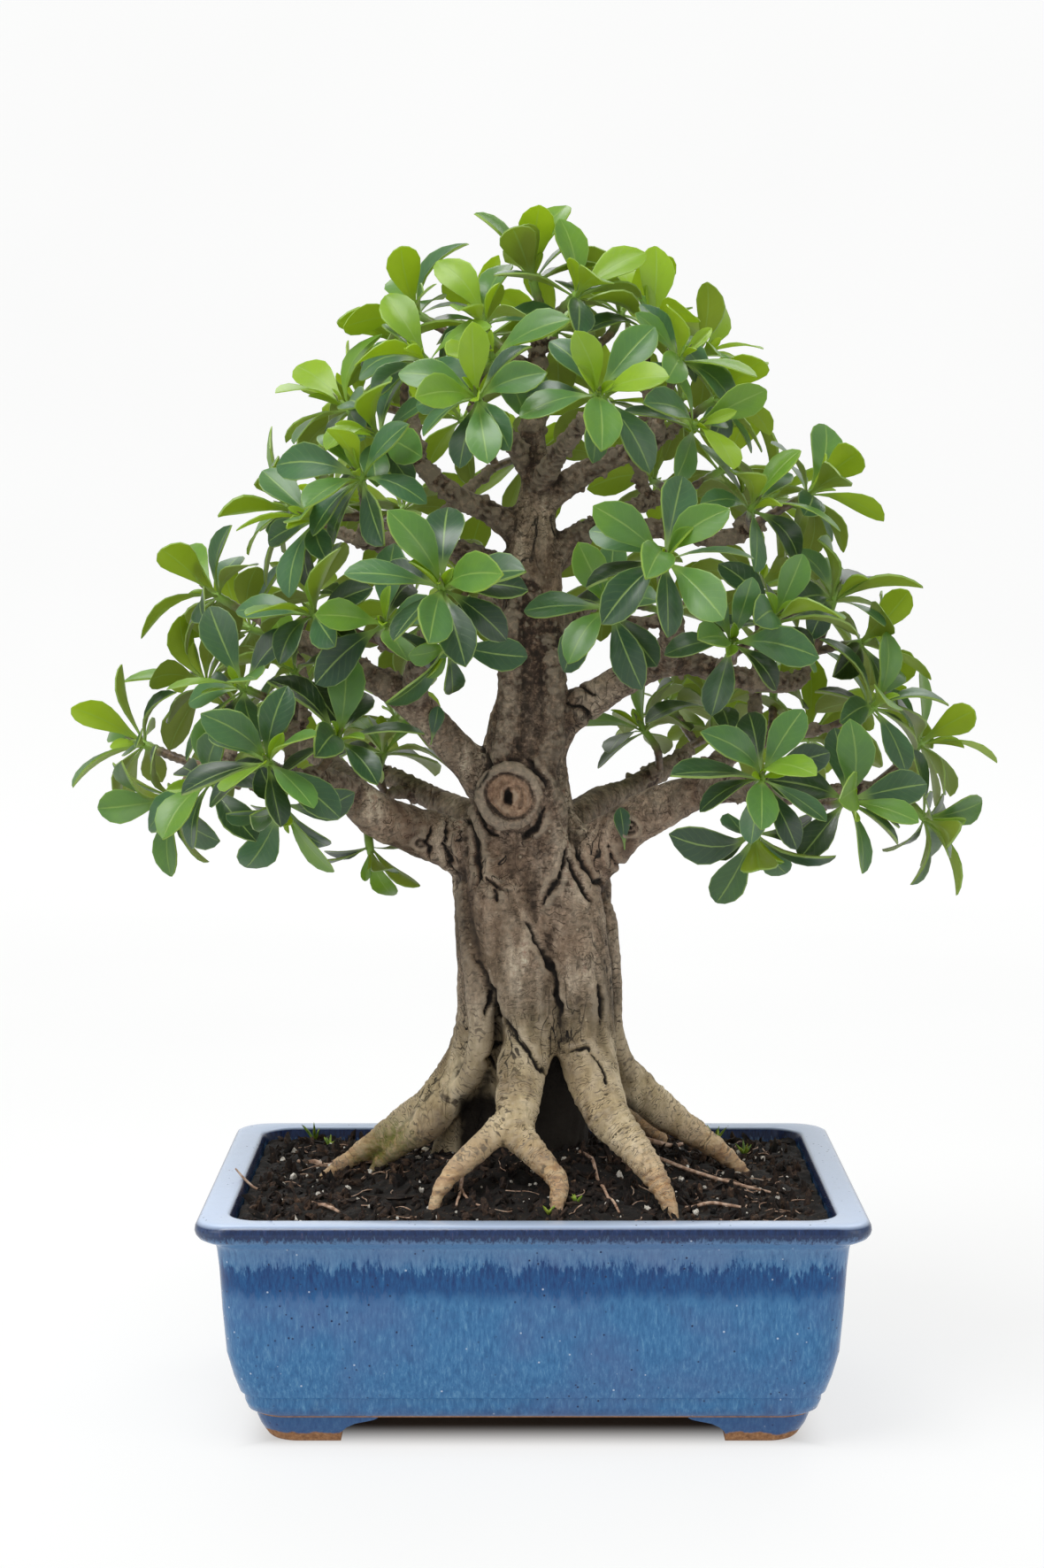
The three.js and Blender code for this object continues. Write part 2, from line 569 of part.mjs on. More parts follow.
// Where a twig leaves the wood for a spray: the nearest place on a branch or the leader, and rather below
// the spray than above it
const LIMB_PLACES = 24;
const FIRST_PLACE = 4;
const FROM_ABOVE_COST = 0.6;
const LEADER_START = 11;

function nearestWood(target) {
  let best = null;
  for (const limb of [...limbs, TRUNK.slice(LEADER_START)]) {
    const curve = new THREE.CatmullRomCurve3(limb.map(vector));
    for (let place = FIRST_PLACE; place <= LIMB_PLACES; place += 1) {
      const point = curve.getPoint(place / LIMB_PLACES);
      const reach = point.distanceTo(target) + Math.max(0, point.z - target.z) * FROM_ABOVE_COST;
      if (best === null || reach < best.reach) {
        best = { point, reach };
      }
    }
  }
  return best.point;
}

const plans = shootGroups.map((shoots, index) => {
  const middle = groupMiddles[index];
  const origin = nearestWood(middle);
  const inward = origin.clone().sub(middle);
  const pull = Math.min(shoots.length > 1 ? FORKED_TWIG_PULL : TWIG_PULL, inward.length() * 0.4);
  return { shoots, origin, base: middle.clone().addScaledVector(inward.normalize(), pull) };
});

// The woody twig under a spray, with a flat end where the green stem begins
function twigPoints({ origin, base }) {
  return [
    [...origin.toArray(), TWIG_RADIUS + 0.6],
    [...base.toArray(), TWIG_RADIUS - 0.2],
  ];
}

const TRUNK_SIDES = 11;
const TRUNK_RINGS = 15;
const TRUNK_FLUTE = 0.03;
const STOUT_SIDES = 6;
const THIN_SIDES = 5;
const STOUT_RADIUS = 9;

const trunkSolid = (grow) => limbSolid(TRUNK, TRUNK_SIDES, TRUNK_RINGS, grow, TRUNK_FLUTE);
const rootSolids = (grow) => [
  ...STRANDS.map((points) => limbSolid(points, STOUT_SIDES, points.length - 1, grow)),
  ...ROOT_FORKS.map((points) => limbSolid(points, THIN_SIDES, points.length - 1, grow)),
];

function branchSolid(points) {
  const sides = points[0][3] > STOUT_RADIUS ? STOUT_SIDES : THIN_SIDES;
  return limbSolid(points, sides, points.length - 1);
}

// The same limbs a little thicker, and longer at both ends, to make the holes in the soil
function holeSolids() {
  const longer = [...STRANDS, ...ROOT_FORKS].map((points) => {
    const [x, y, z, radius] = points[points.length - 1];
    return toSolid(new THREE.IcosahedronGeometry(radius + 3 * ROOT_HOLE_GAP, 0).translate(x, y, z));
  });
  const [x, y, z, radius] = TRUNK[0];
  const under = new THREE.CylinderGeometry(radius, radius, 2 * ROOT_HOLE_GAP, TRUNK_SIDES);
  under.rotateX(Math.PI / 2).translate(x, y, z);
  return [trunkSolid(ROOT_HOLE_GAP), ...rootSolids(ROOT_HOLE_GAP), ...longer, toSolid(under)];
}

function makeWood() {
  const parts = [
    trunkSolid(0),
    ...rootSolids(0),
    ...limbs.map(branchSolid),
    ...plans.map((plan) => limbSolid(twigPoints(plan), 3, 1)),
    pruningScar(),
  ];
  return largestPiece(wasm.Manifold.union(parts));
}

// The rolled collar round the old pruning cut on the front of the trunk
const SCAR_CENTRE = [-10, -21.5, 246];

function pruningScar() {
  const ring = new THREE.LatheGeometry([
    new THREE.Vector2(0, -14),
    new THREE.Vector2(13.5, -14),
    new THREE.Vector2(13.5, 0.5),
    new THREE.Vector2(11.5, 2.4),
    new THREE.Vector2(8.5, 1.6),
    new THREE.Vector2(5, 0.4),
    new THREE.Vector2(3, -3),
    new THREE.Vector2(0, -4),
  ], 11);
  ring.rotateX(Math.PI);
  ring.translate(...SCAR_CENTRE);
  return toSolid(ring);
}

// Soil: a filled body with a crumbly mound, cut round the roots and the screens
function soilTop(x, y) {
  const mound = MOUND_HEIGHT * Math.exp(-0.8 * (x * x + y * y) / (MOUND_RADIUS * MOUND_RADIUS));
  const ridges = Math.sin(x * 0.31 + 1.3 * Math.sin(y * 0.17));
  const furrows = Math.cos(y * 0.27 - 0.8 * Math.sin(x * 0.13));
  return mound + CRUMB_HEIGHT * ridges * furrows;
}

function makeSoil() {
  const plan = roundedPlan(3);
  const edge = HALF - 14.3;
  const rings = [0.9, 0.68, 0.46, 0.24];
  const top = rings.map((share) => [edge * share, SOIL_EDGE_TOP, 8 * share, (edge - DEPTH_LESS) * share]);
  const profile = [
    [0, FLOOR_TOP + GAP, 0, 0],
    [HALF - 29.5, FLOOR_TOP + GAP, 10],
    [HALF - 20.5, 34 + GAP, 9],
    [HALF - 16.5, 62 + GAP, 8],
    [edge, SOIL_EDGE_TOP - 1.5, 8],
    ...top,
    [0, SOIL_EDGE_TOP, 0, 0],
  ];
  const lift = (x, y, height) => (height === SOIL_EDGE_TOP ? soilTop(x, y) : 0);
  let soil = planSolid(profile, plan, lift);
  for (const x of [-DRAIN_X, DRAIN_X]) {
    const side = SCREEN_SIDE + 2 * GAP;
    const pocket = new THREE.BoxGeometry(side, side, 2 * (SCREEN_THICKNESS + 2 * GAP));
    pocket.translate(x, 0, FLOOR_TOP);
    soil = soil.subtract(toSolid(pocket));
  }
  for (const hole of holeSolids()) {
    soil = soil.subtract(hole);
  }
  return largestPiece(soil);
}

// Foliage is grown face by face: a rosette starts as a small faceted bud, and each leaf, and the stem, is
// drawn out of one of the bud's triangles, so that all of it is one skin.
function budSkin({ heart, axis }) {
  const geometry = new THREE.IcosahedronGeometry(BUD_RADIUS, 0);
  geometry.scale(1, 1, BUD_STRETCH);
  geometry.applyQuaternion(new THREE.Quaternion().setFromUnitVectors(new THREE.Vector3(0, 0, 1), axis));
  geometry.translate(...heart.toArray());
  geometry.deleteAttribute('normal');
  geometry.deleteAttribute('uv');
  const merged = mergeVertices(geometry, 1e-4);
  const position = merged.attributes.position;
  const points = [];
  for (let index = 0; index < position.count; index += 1) {
    points.push(new THREE.Vector3().fromBufferAttribute(position, index));
  }
  const faces = [];
  for (let corner = 0; corner < merged.index.count; corner += 3) {
    faces.push([0, 1, 2].map((step) => merged.index.getX(corner + step)));
  }
  return { points, faces };
}

function faceNormal(skin, face) {
  const [a, b, c] = face.map((index) => skin.points[index]);
  return new THREE.Vector3().subVectors(b, a).cross(new THREE.Vector3().subVectors(c, a)).normalize();
}

// The two triangles of a bent four-sided face, split along the line that leaves the body fuller
function outerPair(points, a, b, c, d) {
  const [pa, pb, pc, pd] = [a, b, c, d].map((index) => points[index]);
  const normal = new THREE.Vector3().subVectors(pc, pa).cross(new THREE.Vector3().subVectors(pd, pb));
  const rise = pa.clone().add(pc).sub(pb).sub(pd).dot(normal);
  return rise > 0 ? [[a, b, c], [a, c, d]] : [[a, b, d], [b, c, d]];
}

// Draws a face out through rings of three points, to a tip or to a flat end. The first ring is turned to
// meet the face with the least twist.
function drawOut(skin, face, rings, tip) {
  const corners = face.map((index) => skin.points[index]);
  const middle = corners[0].clone().add(corners[1]).add(corners[2]).divideScalar(3);
  const centre = rings[0][0].clone().add(rings[0][1]).add(rings[0][2]).divideScalar(3);
  const twist = [0, 1, 2].map((turn) => corners.reduce((sum, corner, index) => {
    const arm = rings[0][(index + turn) % 3].clone().sub(centre).normalize();
    return sum + arm.dot(corner.clone().sub(middle).normalize());
  }, 0));
  const turn = twist.indexOf(Math.max(...twist));
  const faces = [];
  let from = face;
  for (const ring of rings) {
    const next = [0, 1, 2].map((index) => skin.points.push(ring[(index + turn) % 3]) - 1);
    for (let side = 0; side < 3; side += 1) {
      const other = (side + 1) % 3;
      faces.push(...outerPair(skin.points, from[side], from[other], next[other], next[side]));
    }
    from = next;
  }
  if (tip) {
    const end = skin.points.push(tip) - 1;
    faces.push([from[0], from[1], end], [from[1], from[2], end], [from[2], from[0], end]);
  } else {
    faces.push(from);
  }
  return faces;
}

function skinSolid({ points, faces }) {
  const geometry = new THREE.BufferGeometry();
  geometry.setAttribute('position', new THREE.Float32BufferAttribute(points.flatMap((p) => p.toArray()), 3));
  geometry.setIndex(faces.flat());
  return toSolid(geometry);
}

// A leaf has three edges (left, right and the keel under the midrib). LEAF_FORM gives the share of the
// length and the share of the width at each ring, from the narrow foot to the blunt shoulder.
const LEAF_FORM = [[0.56, 1], [0.86, 0.76]];

function leafRings({ root, along, face, length, width, thickness, arch }) {
  const side = new THREE.Vector3().crossVectors(face, along);
  const spine = (share) => root.clone()
    .addScaledVector(along, share * length)
    .addScaledVector(face, -arch * length * share * share);
  const rings = LEAF_FORM.map(([share, broad]) => [
    spine(share).addScaledVector(side, broad * width / 2),
    spine(share).addScaledVector(side, -broad * width / 2),
    spine(share).addScaledVector(face, -thickness),
  ]);
  return { rings, tip: spine(1) };
}

// The way a leaf of a rosette points: turned by the golden angle, young ones upright, old ones spread
function leafStance(shoot, index, tries) {
  const { axis, seed, leaves } = shoot;
  const reference = Math.abs(axis.z) > 0.8 ? new THREE.Vector3(0, -1, 0) : new THREE.Vector3(0, 0, 1);
  const first = new THREE.Vector3().crossVectors(reference, axis).normalize();
  const second = new THREE.Vector3().crossVectors(axis, first);
  const age = (index + 0.6) / leaves;
  const wobble = draw(seed * 31 + index * 7) - 0.5;
  const turn = index * GOLDEN_ANGLE + seed * 1.7 + wobble * 0.5 + tries.turn;
  const spread = THREE.MathUtils.lerp(YOUNG_LEAF_OPEN, OLD_LEAF_OPEN, age) + wobble * OPEN_WOBBLE;
  const open = spread * (shoot.spread ?? 1) + tries.open;
  const out = first.multiplyScalar(Math.cos(turn)).addScaledVector(second, Math.sin(turn));
  const along = axis.clone().multiplyScalar(Math.cos(open)).addScaledVector(out, Math.sin(open));
  along.z -= OLD_LEAF_DROOP * age;
  along.normalize();
  const face = axis.clone().add(new THREE.Vector3(0, 0, FACE_LIGHT));
  face.addScaledVector(along, -face.dot(along)).normalize();
  const size = (shoot.size ?? 1) * (0.86 + 0.2 * draw(seed * 17 + index * 3)) * tries.size;
  return { along, face, size, arch: 0.07 + 0.12 * draw(seed * 5 + index) };
}

// What a leaf may do to stay clear of its neighbours: as drawn, more open, more upright, turned, smaller
const TRIES = [];
for (const size of [1, 0.88, 0.74]) {
  for (const open of [0, 0.25, -0.25, 0.5]) {
    for (const turn of [0, 0.35, -0.35]) {
      TRIES.push({ size, open, turn });
    }
  }
}

function leafForm(shoot, index, tries, grow) {
  const stance = leafStance(shoot, index, tries);
  return leafRings({
    root: shoot.heart.clone(),
    along: stance.along,
    face: stance.face,
    length: LEAF_LENGTH * stance.size + grow,
    width: LEAF_WIDTH * stance.size + 2 * grow,
    thickness: LEAF_THICKNESS + 2 * grow,
    arch: stance.arch,
  });
}

function bestFace(skin, along) {
  let best = null;
  for (const face of skin.faces) {
    const match = faceNormal(skin, face).dot(along);
    if (best === null || match > best.match) {
      best = { face, match };
    }
  }
  return best;
}

// Draws a leaf or a stem out of a copy of the bud, to try it against its neighbours as a solid of its own
function trySolid(skin, face, rings, tip) {
  const points = skin.points.map((point) => point.clone());
  const faces = drawOut({ points }, face, rings, tip);
  return skinSolid({ points, faces: [...faces, [face[0], face[2], face[1]]] });
}

function boxOf(solid) {
  const { min, max } = solid.boundingBox();
  return new THREE.Box3(vector(min), vector(max));
}

// A ring of three points round a stem, counted so that a stem drawn against its way of growth faces out
function stemRing(centre, way) {
  const across = new THREE.Vector3(0.3, 0.2, 0.9).cross(way).normalize();
  const aside = new THREE.Vector3().crossVectors(way, across);
  return [0, 1, 2].map((step) => {
    const angle = -step * 2 * Math.PI / 3;
    return centre.clone()
      .addScaledVector(across, STEM_RADIUS * Math.cos(angle))
      .addScaledVector(aside, STEM_RADIUS * Math.sin(angle));
  });
}

// From the bud down to the end of the twig, or into the side of the spray's first stem
const STEM_BEND = 0.45;
const FORK_PLACE = 0.35;

function stemRings(plan, shoot, first) {
  const towards = plan.base.clone().sub(plan.origin).normalize();
  const from = first ?? plan.base;
  const middle = from.clone().lerp(shoot.heart, STEM_BEND).addScaledVector(towards, first ? 0 : STEM_RADIUS);
  const way = middle.clone().sub(from).normalize();
  const lift = first ? 0 : GAP + STEM_RADIUS * way.clone().cross(towards).length();
  const start = from.clone().addScaledVector(towards, lift);
  const rings = [
    stemRing(middle, shoot.heart.clone().sub(start).normalize()),
    stemRing(start, middle.clone().sub(start).normalize()),
  ];
  return { rings, inside: start.clone().lerp(middle, FORK_PLACE) };
}

function startShoot(plan, shoot, first) {
  const skin = budSkin(shoot);
  const { face } = bestFace(skin, shoot.axis.clone().negate());
  const { rings, inside } = stemRings(plan, shoot, first);
  const solid = trySolid(skin, face, rings);
  const grown = drawOut(skin, face, rings);
  skin.faces = skin.faces.filter((other) => other !== face);
  return { ...shoot, skin, grown, inside, bud: skinSolid(budSkin(shoot)), stem: solid };
}

// A leaf may meet its own spray's pieces where they spring from one bud, and nothing else. It grows from
// the bud's face that looks its way.
const SAME_SPRAY_OVERLAP = 1e-4;
const FACE_MATCH = 0.55;

function tryLeaf(shoot, index, placed, wood) {
  for (const tries of TRIES) {
    const wide = leafForm(shoot, index, tries, LEAF_CLEARANCE);
    const along = wide.tip.clone().sub(shoot.heart).normalize();
    const { face, match } = bestFace(shoot.skin, along);
    const probe = trySolid(shoot.skin, face, wide.rings, wide.tip);
    const box = boxOf(probe);
    const touches = (piece) => piece.box.intersectsBox(box)
      && probe.intersect(piece.solid).volume() > (piece.owner === shoot.owner ? SAME_SPRAY_OVERLAP : 0);
    if (match > FACE_MATCH && !placed.some(touches) && probe.intersect(wood).isEmpty()) {
      const form = leafForm(shoot, index, tries, 0);
      const solid = trySolid(shoot.skin, face, form.rings, form.tip);
      placed.push({ owner: shoot.owner, solid, box: boxOf(solid) });
      shoot.grown.push(...drawOut(shoot.skin, face, form.rings, form.tip));
      shoot.skin.faces = shoot.skin.faces.filter((other) => other !== face);
      return;
    }
  }
}

// Sets every leaf in turn, the same leaf of each rosette before the next, where it touches nothing
function makeSprays(wood) {
  const placed = [];
  let seed = 0;
  const sprays = plans.map((plan, owner) => {
    let inside;
    return plan.shoots.map((shoot) => {
      seed += 1;
      const started = startShoot(plan, { ...shoot, owner, seed }, inside);
      for (const solid of [started.bud, started.stem]) {
        placed.push({ owner, solid, box: boxOf(solid) });
      }
      inside = started.inside;
      return started;
    });
  });
  const shoots = sprays.flat();
  const most = Math.max(...shoots.map((shoot) => shoot.leaves));
  for (let index = 0; index < most; index += 1) {
    for (const shoot of shoots.filter(({ leaves }) => index < leaves)) {
      tryLeaf(shoot, index, placed, wood);
    }
  }
  return sprays.map((spray) => wasm.Manifold.union(spray.map(({ skin, grown }) => skinSolid({
    points: skin.points,
    faces: [...skin.faces, ...grown],
  }))));
}

// The finished object
function material(color, roughness) {
  return new THREE.MeshStandardMaterial({ color, roughness, metalness: 0 });
}

const bonsai = new THREE.Group();

function addNode(name, solid, finish) {
  const mesh = new THREE.Mesh(toGeometry(solid), finish);
  mesh.name = name;
  bonsai.add(mesh);
}

addNode('pot', makePot(), material(0x3f6fa9, 0.25));
addNode('soil', makeSoil(), material(0x1f1613, 0.95));
addNode('drain_screen_left', makeScreen(-DRAIN_X), material(0x15181a, 0.6));
addNode('drain_screen_right', makeScreen(DRAIN_X), material(0x15181a, 0.6));
const wood = makeWood();
addNode('trunk_roots_branches', wood, material(0x85705c, 0.85));
makeSprays(wood).forEach((spray, index) => {
  addNode(`leafy_shoot_${String(index + 1).padStart(2, '0')}`, spray, material(0x3f7d3c, 0.4));
});

export default bonsai;
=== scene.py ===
# %% [markdown]
# # A ficus bonsai in a glazed pot
# The frame is a plain solid model of the tree and its pot: one node for the wood, one for each leafy
# shoot, and the pot, the soil and the two drain screens. This lesson builds the living surface round it:
# fused bark, single leaves, crumbly soil and a streaked glaze. Everything is in metres, +Z up, with the
# origin on the ground under the middle of the pot and -Y towards the camera.

# %% The frame
import json
import math
from itertools import product

import bpy
import numpy as np
from mathutils import Euler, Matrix, Quaternion, Vector, noise
from mathutils.bvhtree import BVHTree
from mathutils.kdtree import KDTree

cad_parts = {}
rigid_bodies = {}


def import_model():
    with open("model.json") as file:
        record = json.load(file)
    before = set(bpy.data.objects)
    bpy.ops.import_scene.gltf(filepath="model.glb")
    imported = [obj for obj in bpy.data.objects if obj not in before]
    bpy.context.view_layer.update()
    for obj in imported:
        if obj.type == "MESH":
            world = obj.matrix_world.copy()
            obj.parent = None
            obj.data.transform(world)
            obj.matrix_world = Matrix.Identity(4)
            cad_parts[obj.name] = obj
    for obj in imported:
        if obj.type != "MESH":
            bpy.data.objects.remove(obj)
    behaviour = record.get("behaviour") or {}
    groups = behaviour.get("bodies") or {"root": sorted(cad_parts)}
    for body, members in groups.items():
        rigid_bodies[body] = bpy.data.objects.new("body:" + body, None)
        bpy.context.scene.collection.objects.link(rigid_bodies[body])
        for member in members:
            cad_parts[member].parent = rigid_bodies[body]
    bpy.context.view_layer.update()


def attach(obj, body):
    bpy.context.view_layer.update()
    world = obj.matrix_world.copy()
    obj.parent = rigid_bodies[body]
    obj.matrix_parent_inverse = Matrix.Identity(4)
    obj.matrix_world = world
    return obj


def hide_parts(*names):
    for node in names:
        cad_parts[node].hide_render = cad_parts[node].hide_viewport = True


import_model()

MM = 0.001

# %% [markdown]
# ## Small tools
# An operator acts on all that is selected, so each step first takes hold of one piece alone. A finished
# piece keeps its object at the origin, with its place in its mesh. A colour is picked as a hex value, as
# in any paint program, and turned to the linear numbers that the shaders use.

# %% Taking hold of pieces
def deselect_all():
    for piece in list(bpy.context.selected_objects):
        piece.select_set(False)


def take(*pieces):
    """Selects these pieces and nothing else, with the first one active."""
    deselect_all()
    pieces[0].hide_set(False)
    for piece in pieces:
        piece.select_set(True)
    bpy.context.view_layer.objects.active = pieces[0]


def named(name):
    piece = bpy.context.active_object
    piece.name = piece.data.name = name
    return piece


def settle(piece):
    take(piece)
    bpy.ops.object.transform_apply(location=True, rotation=True, scale=True)
    return piece


def edit(piece, mode="VERT"):
    take(piece)
    bpy.ops.object.mode_set(mode="EDIT")
    bpy.ops.mesh.select_mode(type=mode)


def leave_edit():
    bpy.ops.object.mode_set(mode="OBJECT")


def close_skin():
    """Turns all faces outwards and leaves edit mode."""
    bpy.ops.mesh.select_all(action="SELECT")
    bpy.ops.mesh.normals_make_consistent(inside=False)
    leave_edit()


def select_where(piece, kind, test):
    """Selects the vertices or edges whose middle passes the test, and leaves the rest."""
    bpy.ops.mesh.select_all(action="DESELECT")
    bpy.ops.object.mode_set(mode="OBJECT")
    vertices = piece.data.vertices
    for item in getattr(piece.data, kind):
        if kind == "vertices":
            middle = item.co
        else:
            middle = (vertices[item.vertices[0]].co + vertices[item.vertices[1]].co) / 2
        item.select = bool(test(middle, item))
    bpy.ops.object.mode_set(mode="EDIT")


def apply_modifier(piece, kind, **settings):
    take(piece)
    bpy.ops.object.modifier_add(type=kind)
    modifier = piece.modifiers[-1]
    for name, value in settings.items():
        setattr(modifier, name, value)
    bpy.ops.object.modifier_apply(modifier=modifier.name)


def combine(piece, other, operation):
    """Cuts piece by other or joins them, and removes other."""
    apply_modifier(piece, "BOOLEAN", object=other, operation=operation, solver="EXACT")
    bpy.data.objects.remove(other)


def join(pieces, name):
    take(*pieces)
    bpy.ops.object.join()
    return named(name)


def copy_of(piece):
    made = piece.copy()
    made.data = piece.data.copy()
    bpy.context.collection.objects.link(made)
    return made


def points_of(piece, kind="co"):
    """Where a piece's points are, or with "normal" which way they face, as rows of three."""
    flat = np.empty(len(piece.data.vertices) * 3, np.float32)
    piece.data.vertices.foreach_get(kind, flat)
    return flat.reshape(-1, 3).astype(float)


def move_points(piece, points):
    piece.data.vertices.foreach_set("co", points.astype(np.float32).ravel())
    piece.data.update()


def mark(piece, name, values):
    """Keeps a number at each point of a piece, one for all or one for each, for its material to read."""
    layer = piece.data.attributes.get(name) or piece.data.attributes.new(name, "FLOAT", "POINT")
    layer.data.foreach_set("value", np.full(len(piece.data.vertices), values, np.float32))


def dress(piece, material):
    piece.data.materials.clear()
    piece.data.materials.append(material)


def smooth_below(piece, degrees):
    """Shades a piece smooth, but for its edges that are sharper than this."""
    take(piece)
    bpy.ops.object.shade_smooth_by_angle(angle=math.radians(degrees))


def triangles(piece):
    return sum(len(face.vertices) - 2 for face in piece.data.polygons)


def at(x, y, z):
    """A place given in millimetres."""
    return Vector((x, y, z)) * MM


def unit(values):
    """The values, held between 0 and 1."""
    return np.clip(values, 0, 1)


def draw(seed):
    """A steady draw between 0 and 1 for a whole number."""
    wave = math.sin(seed * 12.9898 + 78.233) * 43758.5453
    return wave - math.floor(wave)


print("tools ready")

# %% Materials: one function for a colour, one for a node, and short ones for the nodes used most
def linear(hex_colour):
    """An sRGB hex colour as linear red, green, blue and alpha."""
    channels = [int(hex_colour[place:place + 2], 16) / 255 for place in (1, 3, 5)]
    return [c / 12.92 if c <= 0.04045 else ((c + 0.055) / 1.055) ** 2.4 for c in channels] + [1.0]


def node(kind, inputs=None, stops=None, **settings):
    """Adds a node to the tree in hand, with its settings, its values or links, and a ramp's stops."""
    made = tree.nodes.new("ShaderNode" + kind)
    for name, value in settings.items():
        setattr(made, name, value)
    if stops:
        elements = made.color_ramp.elements
        while len(elements) < len(stops):
            elements.new(0.5)
        for element, (place, colour) in zip(elements, stops):
            element.position = place
            element.color = linear(colour)
    for name, value in (inputs or {}).items():
        if isinstance(value, bpy.types.NodeSocket):
            tree.links.new(value, made.inputs[name])
        else:
            made.inputs[name].default_value = linear(value) if isinstance(value, str) else value
    return made


def start_material(name):
    """A new material, whose tree is then the one in hand, and its object coordinates in metres."""
    global tree
    material = bpy.data.materials.new(name)
    material.use_nodes = True
    tree = material.node_tree
    tree.nodes.clear()
    return material, node("TexCoord").outputs["Object"]


def end_material(shader, bump=None, **fixed):
    """Sets what is the same all over on the shader's own sockets, and links it to the output."""
    for name, value in fixed.items():
        shader.inputs[name.replace("_", " ")].default_value = value
    if bump:
        tree.links.new(bump, shader.inputs["Normal"])
    node("OutputMaterial", {"Surface": shader.outputs[0]})


def per_metre(millimetres):
    """A noise or Voronoi scale on object coordinates whose pattern repeats about this often."""
    return 1 / (millimetres * MM)


def cloud(place, millimetres, **more):
    return node("TexNoise", {"Vector": place, "Scale": per_metre(millimetres), **more}).outputs["Fac"]


def cells(place, millimetres):
    return node("TexVoronoi", {"Vector": place, "Scale": per_metre(millimetres)}).outputs["Distance"]


def stretched(place, scale):
    return node("Mapping", {"Vector": place, "Scale": scale}).outputs[0]


def height_of(vector):
    return node("SeparateXYZ", {0: vector}).outputs["Z"]


def attribute(name):
    return node("Attribute", attribute_name=name).outputs["Fac"]


def maths(operation, *values):
    return node("Math", dict(enumerate(values)), operation=operation).outputs[0]


def times(first, second):
    return maths("MULTIPLY", first, second)


def most(first, second):
    return maths("MAXIMUM", first, second)


def spread(value, low, high, to_low=0, to_high=1, smooth=False):
    """Maps low to to_low and high to to_high, and holds what lies beyond them."""
    ends = {"Value": value, "From Min": low, "From Max": high, "To Min": to_low, "To Max": to_high}
    return node("MapRange", ends, interpolation_type="SMOOTHSTEP" if smooth else "LINEAR").outputs[0]


def ramp(value, *stops):
    return node("ValToRGB", {"Fac": value}, stops=stops).outputs["Color"]


def mixed(share, first, second, **settings):
    return node("Mix", {0: share, 6: first, 7: second}, data_type="RGBA", **settings).outputs[2]


def layered(colour, *layers):
    """Lays tones over a colour one after another, each given as (share, tone)."""
    for share, tone in layers:
        colour = mixed(share, colour, tone)
    return colour


def raised(height, strength, millimetres):
    bump = node("Bump", {"Height": height, "Strength": strength, "Distance": millimetres * MM})
    return bump.outputs["Normal"]


def principled(colour, **more):
    return node("BsdfPrincipled", {"Base Color": colour, **more})


print("white is", linear("#ffffff"))

# %% [markdown]
# ## Camera, light and floor
# The picture was taken from a little over a metre away, at the height of the crown and tilted slightly
# down. The camera stands there. A long pale sweep is floor and backdrop in one, and large soft lamps
# above, behind and at the sides light the tree as a studio does.

# %% Camera
CAMERA_PLACE = at(-4.3, -1239, 363)
CAMERA_TILT = math.radians(5.17)
CAMERA_LENS = 70.15

bpy.ops.object.camera_add(location=CAMERA_PLACE, rotation=(math.pi / 2 - CAMERA_TILT, 0, 0))
camera = named("studio_camera")
camera.data.lens = CAMERA_LENS
camera.data.sensor_fit = "VERTICAL"
camera.data.sensor_height = 36
camera.data.clip_end = 20
bpy.context.scene.camera = camera
bpy.context.scene.view_settings.view_transform = "Standard"
print("camera at", camera.location)

# %% Lamps
TREE_MIDDLE = Vector((0, 0, 0.25))


def soft_lamp(name, place, size, power):
    """A rectangular lamp, turned to the middle of the tree."""
    bpy.ops.object.light_add(type="AREA", location=place)
    lamp = named(name)
    lamp.rotation_euler = (TREE_MIDDLE - Vector(place)).to_track_quat("-Z", "Y").to_euler()
    lamp.data.shape = "RECTANGLE"
    lamp.data.size, lamp.data.size_y = size
    lamp.data.energy = power


soft_lamp("lamp_above", (-0.35, -0.45, 1.45), (0.7, 0.7), 14.5)
soft_lamp("lamp_left", (-1.1, -1.0, 1.1), (1.0, 1.0), 6.5)
soft_lamp("lamp_right", (1.4, -0.7, 0.7), (0.8, 1.2), 4)
soft_lamp("lamp_behind", (0.2, 1.3, 1.5), (1.6, 0.8), 10)

# The camera sees the air at its full strength, but the air lights the tree at half of it
world = bpy.data.worlds.new("studio_air")
world.use_nodes = True
tree = world.node_tree
air = tree.nodes["Background"]
air.inputs["Color"].default_value = linear("#fbfbfa")
seen = node("LightPath").outputs["Is Camera Ray"]
tree.links.new(spread(seen, 0, 1, 0.5, 1), air.inputs["Strength"])
bpy.context.scene.world = world

# %% Floor and backdrop
SWEEP_HALF = 3.0
SWEEP_FOLD = 1.2
UNDER_FEET = -0.3 * MM
PICK_WITHIN = 0.01

deselect_all()
bpy.ops.mesh.primitive_plane_add(size=2 * SWEEP_HALF, location=(0, 0, UNDER_FEET))
floor = settle(named("studio_floor"))
edit(floor, "EDGE")
select_where(floor, "edges", lambda middle, edge: middle.y > SWEEP_HALF - PICK_WITHIN)
bpy.ops.mesh.extrude_region()
bpy.ops.transform.translate(value=(0, 0, SWEEP_HALF))
select_where(floor, "edges",
             lambda middle, edge: middle.y > SWEEP_HALF - PICK_WITHIN and abs(middle.z) < PICK_WITHIN)
bpy.ops.mesh.bevel(offset=SWEEP_FOLD, segments=16)
leave_edit()
bpy.ops.object.shade_smooth()

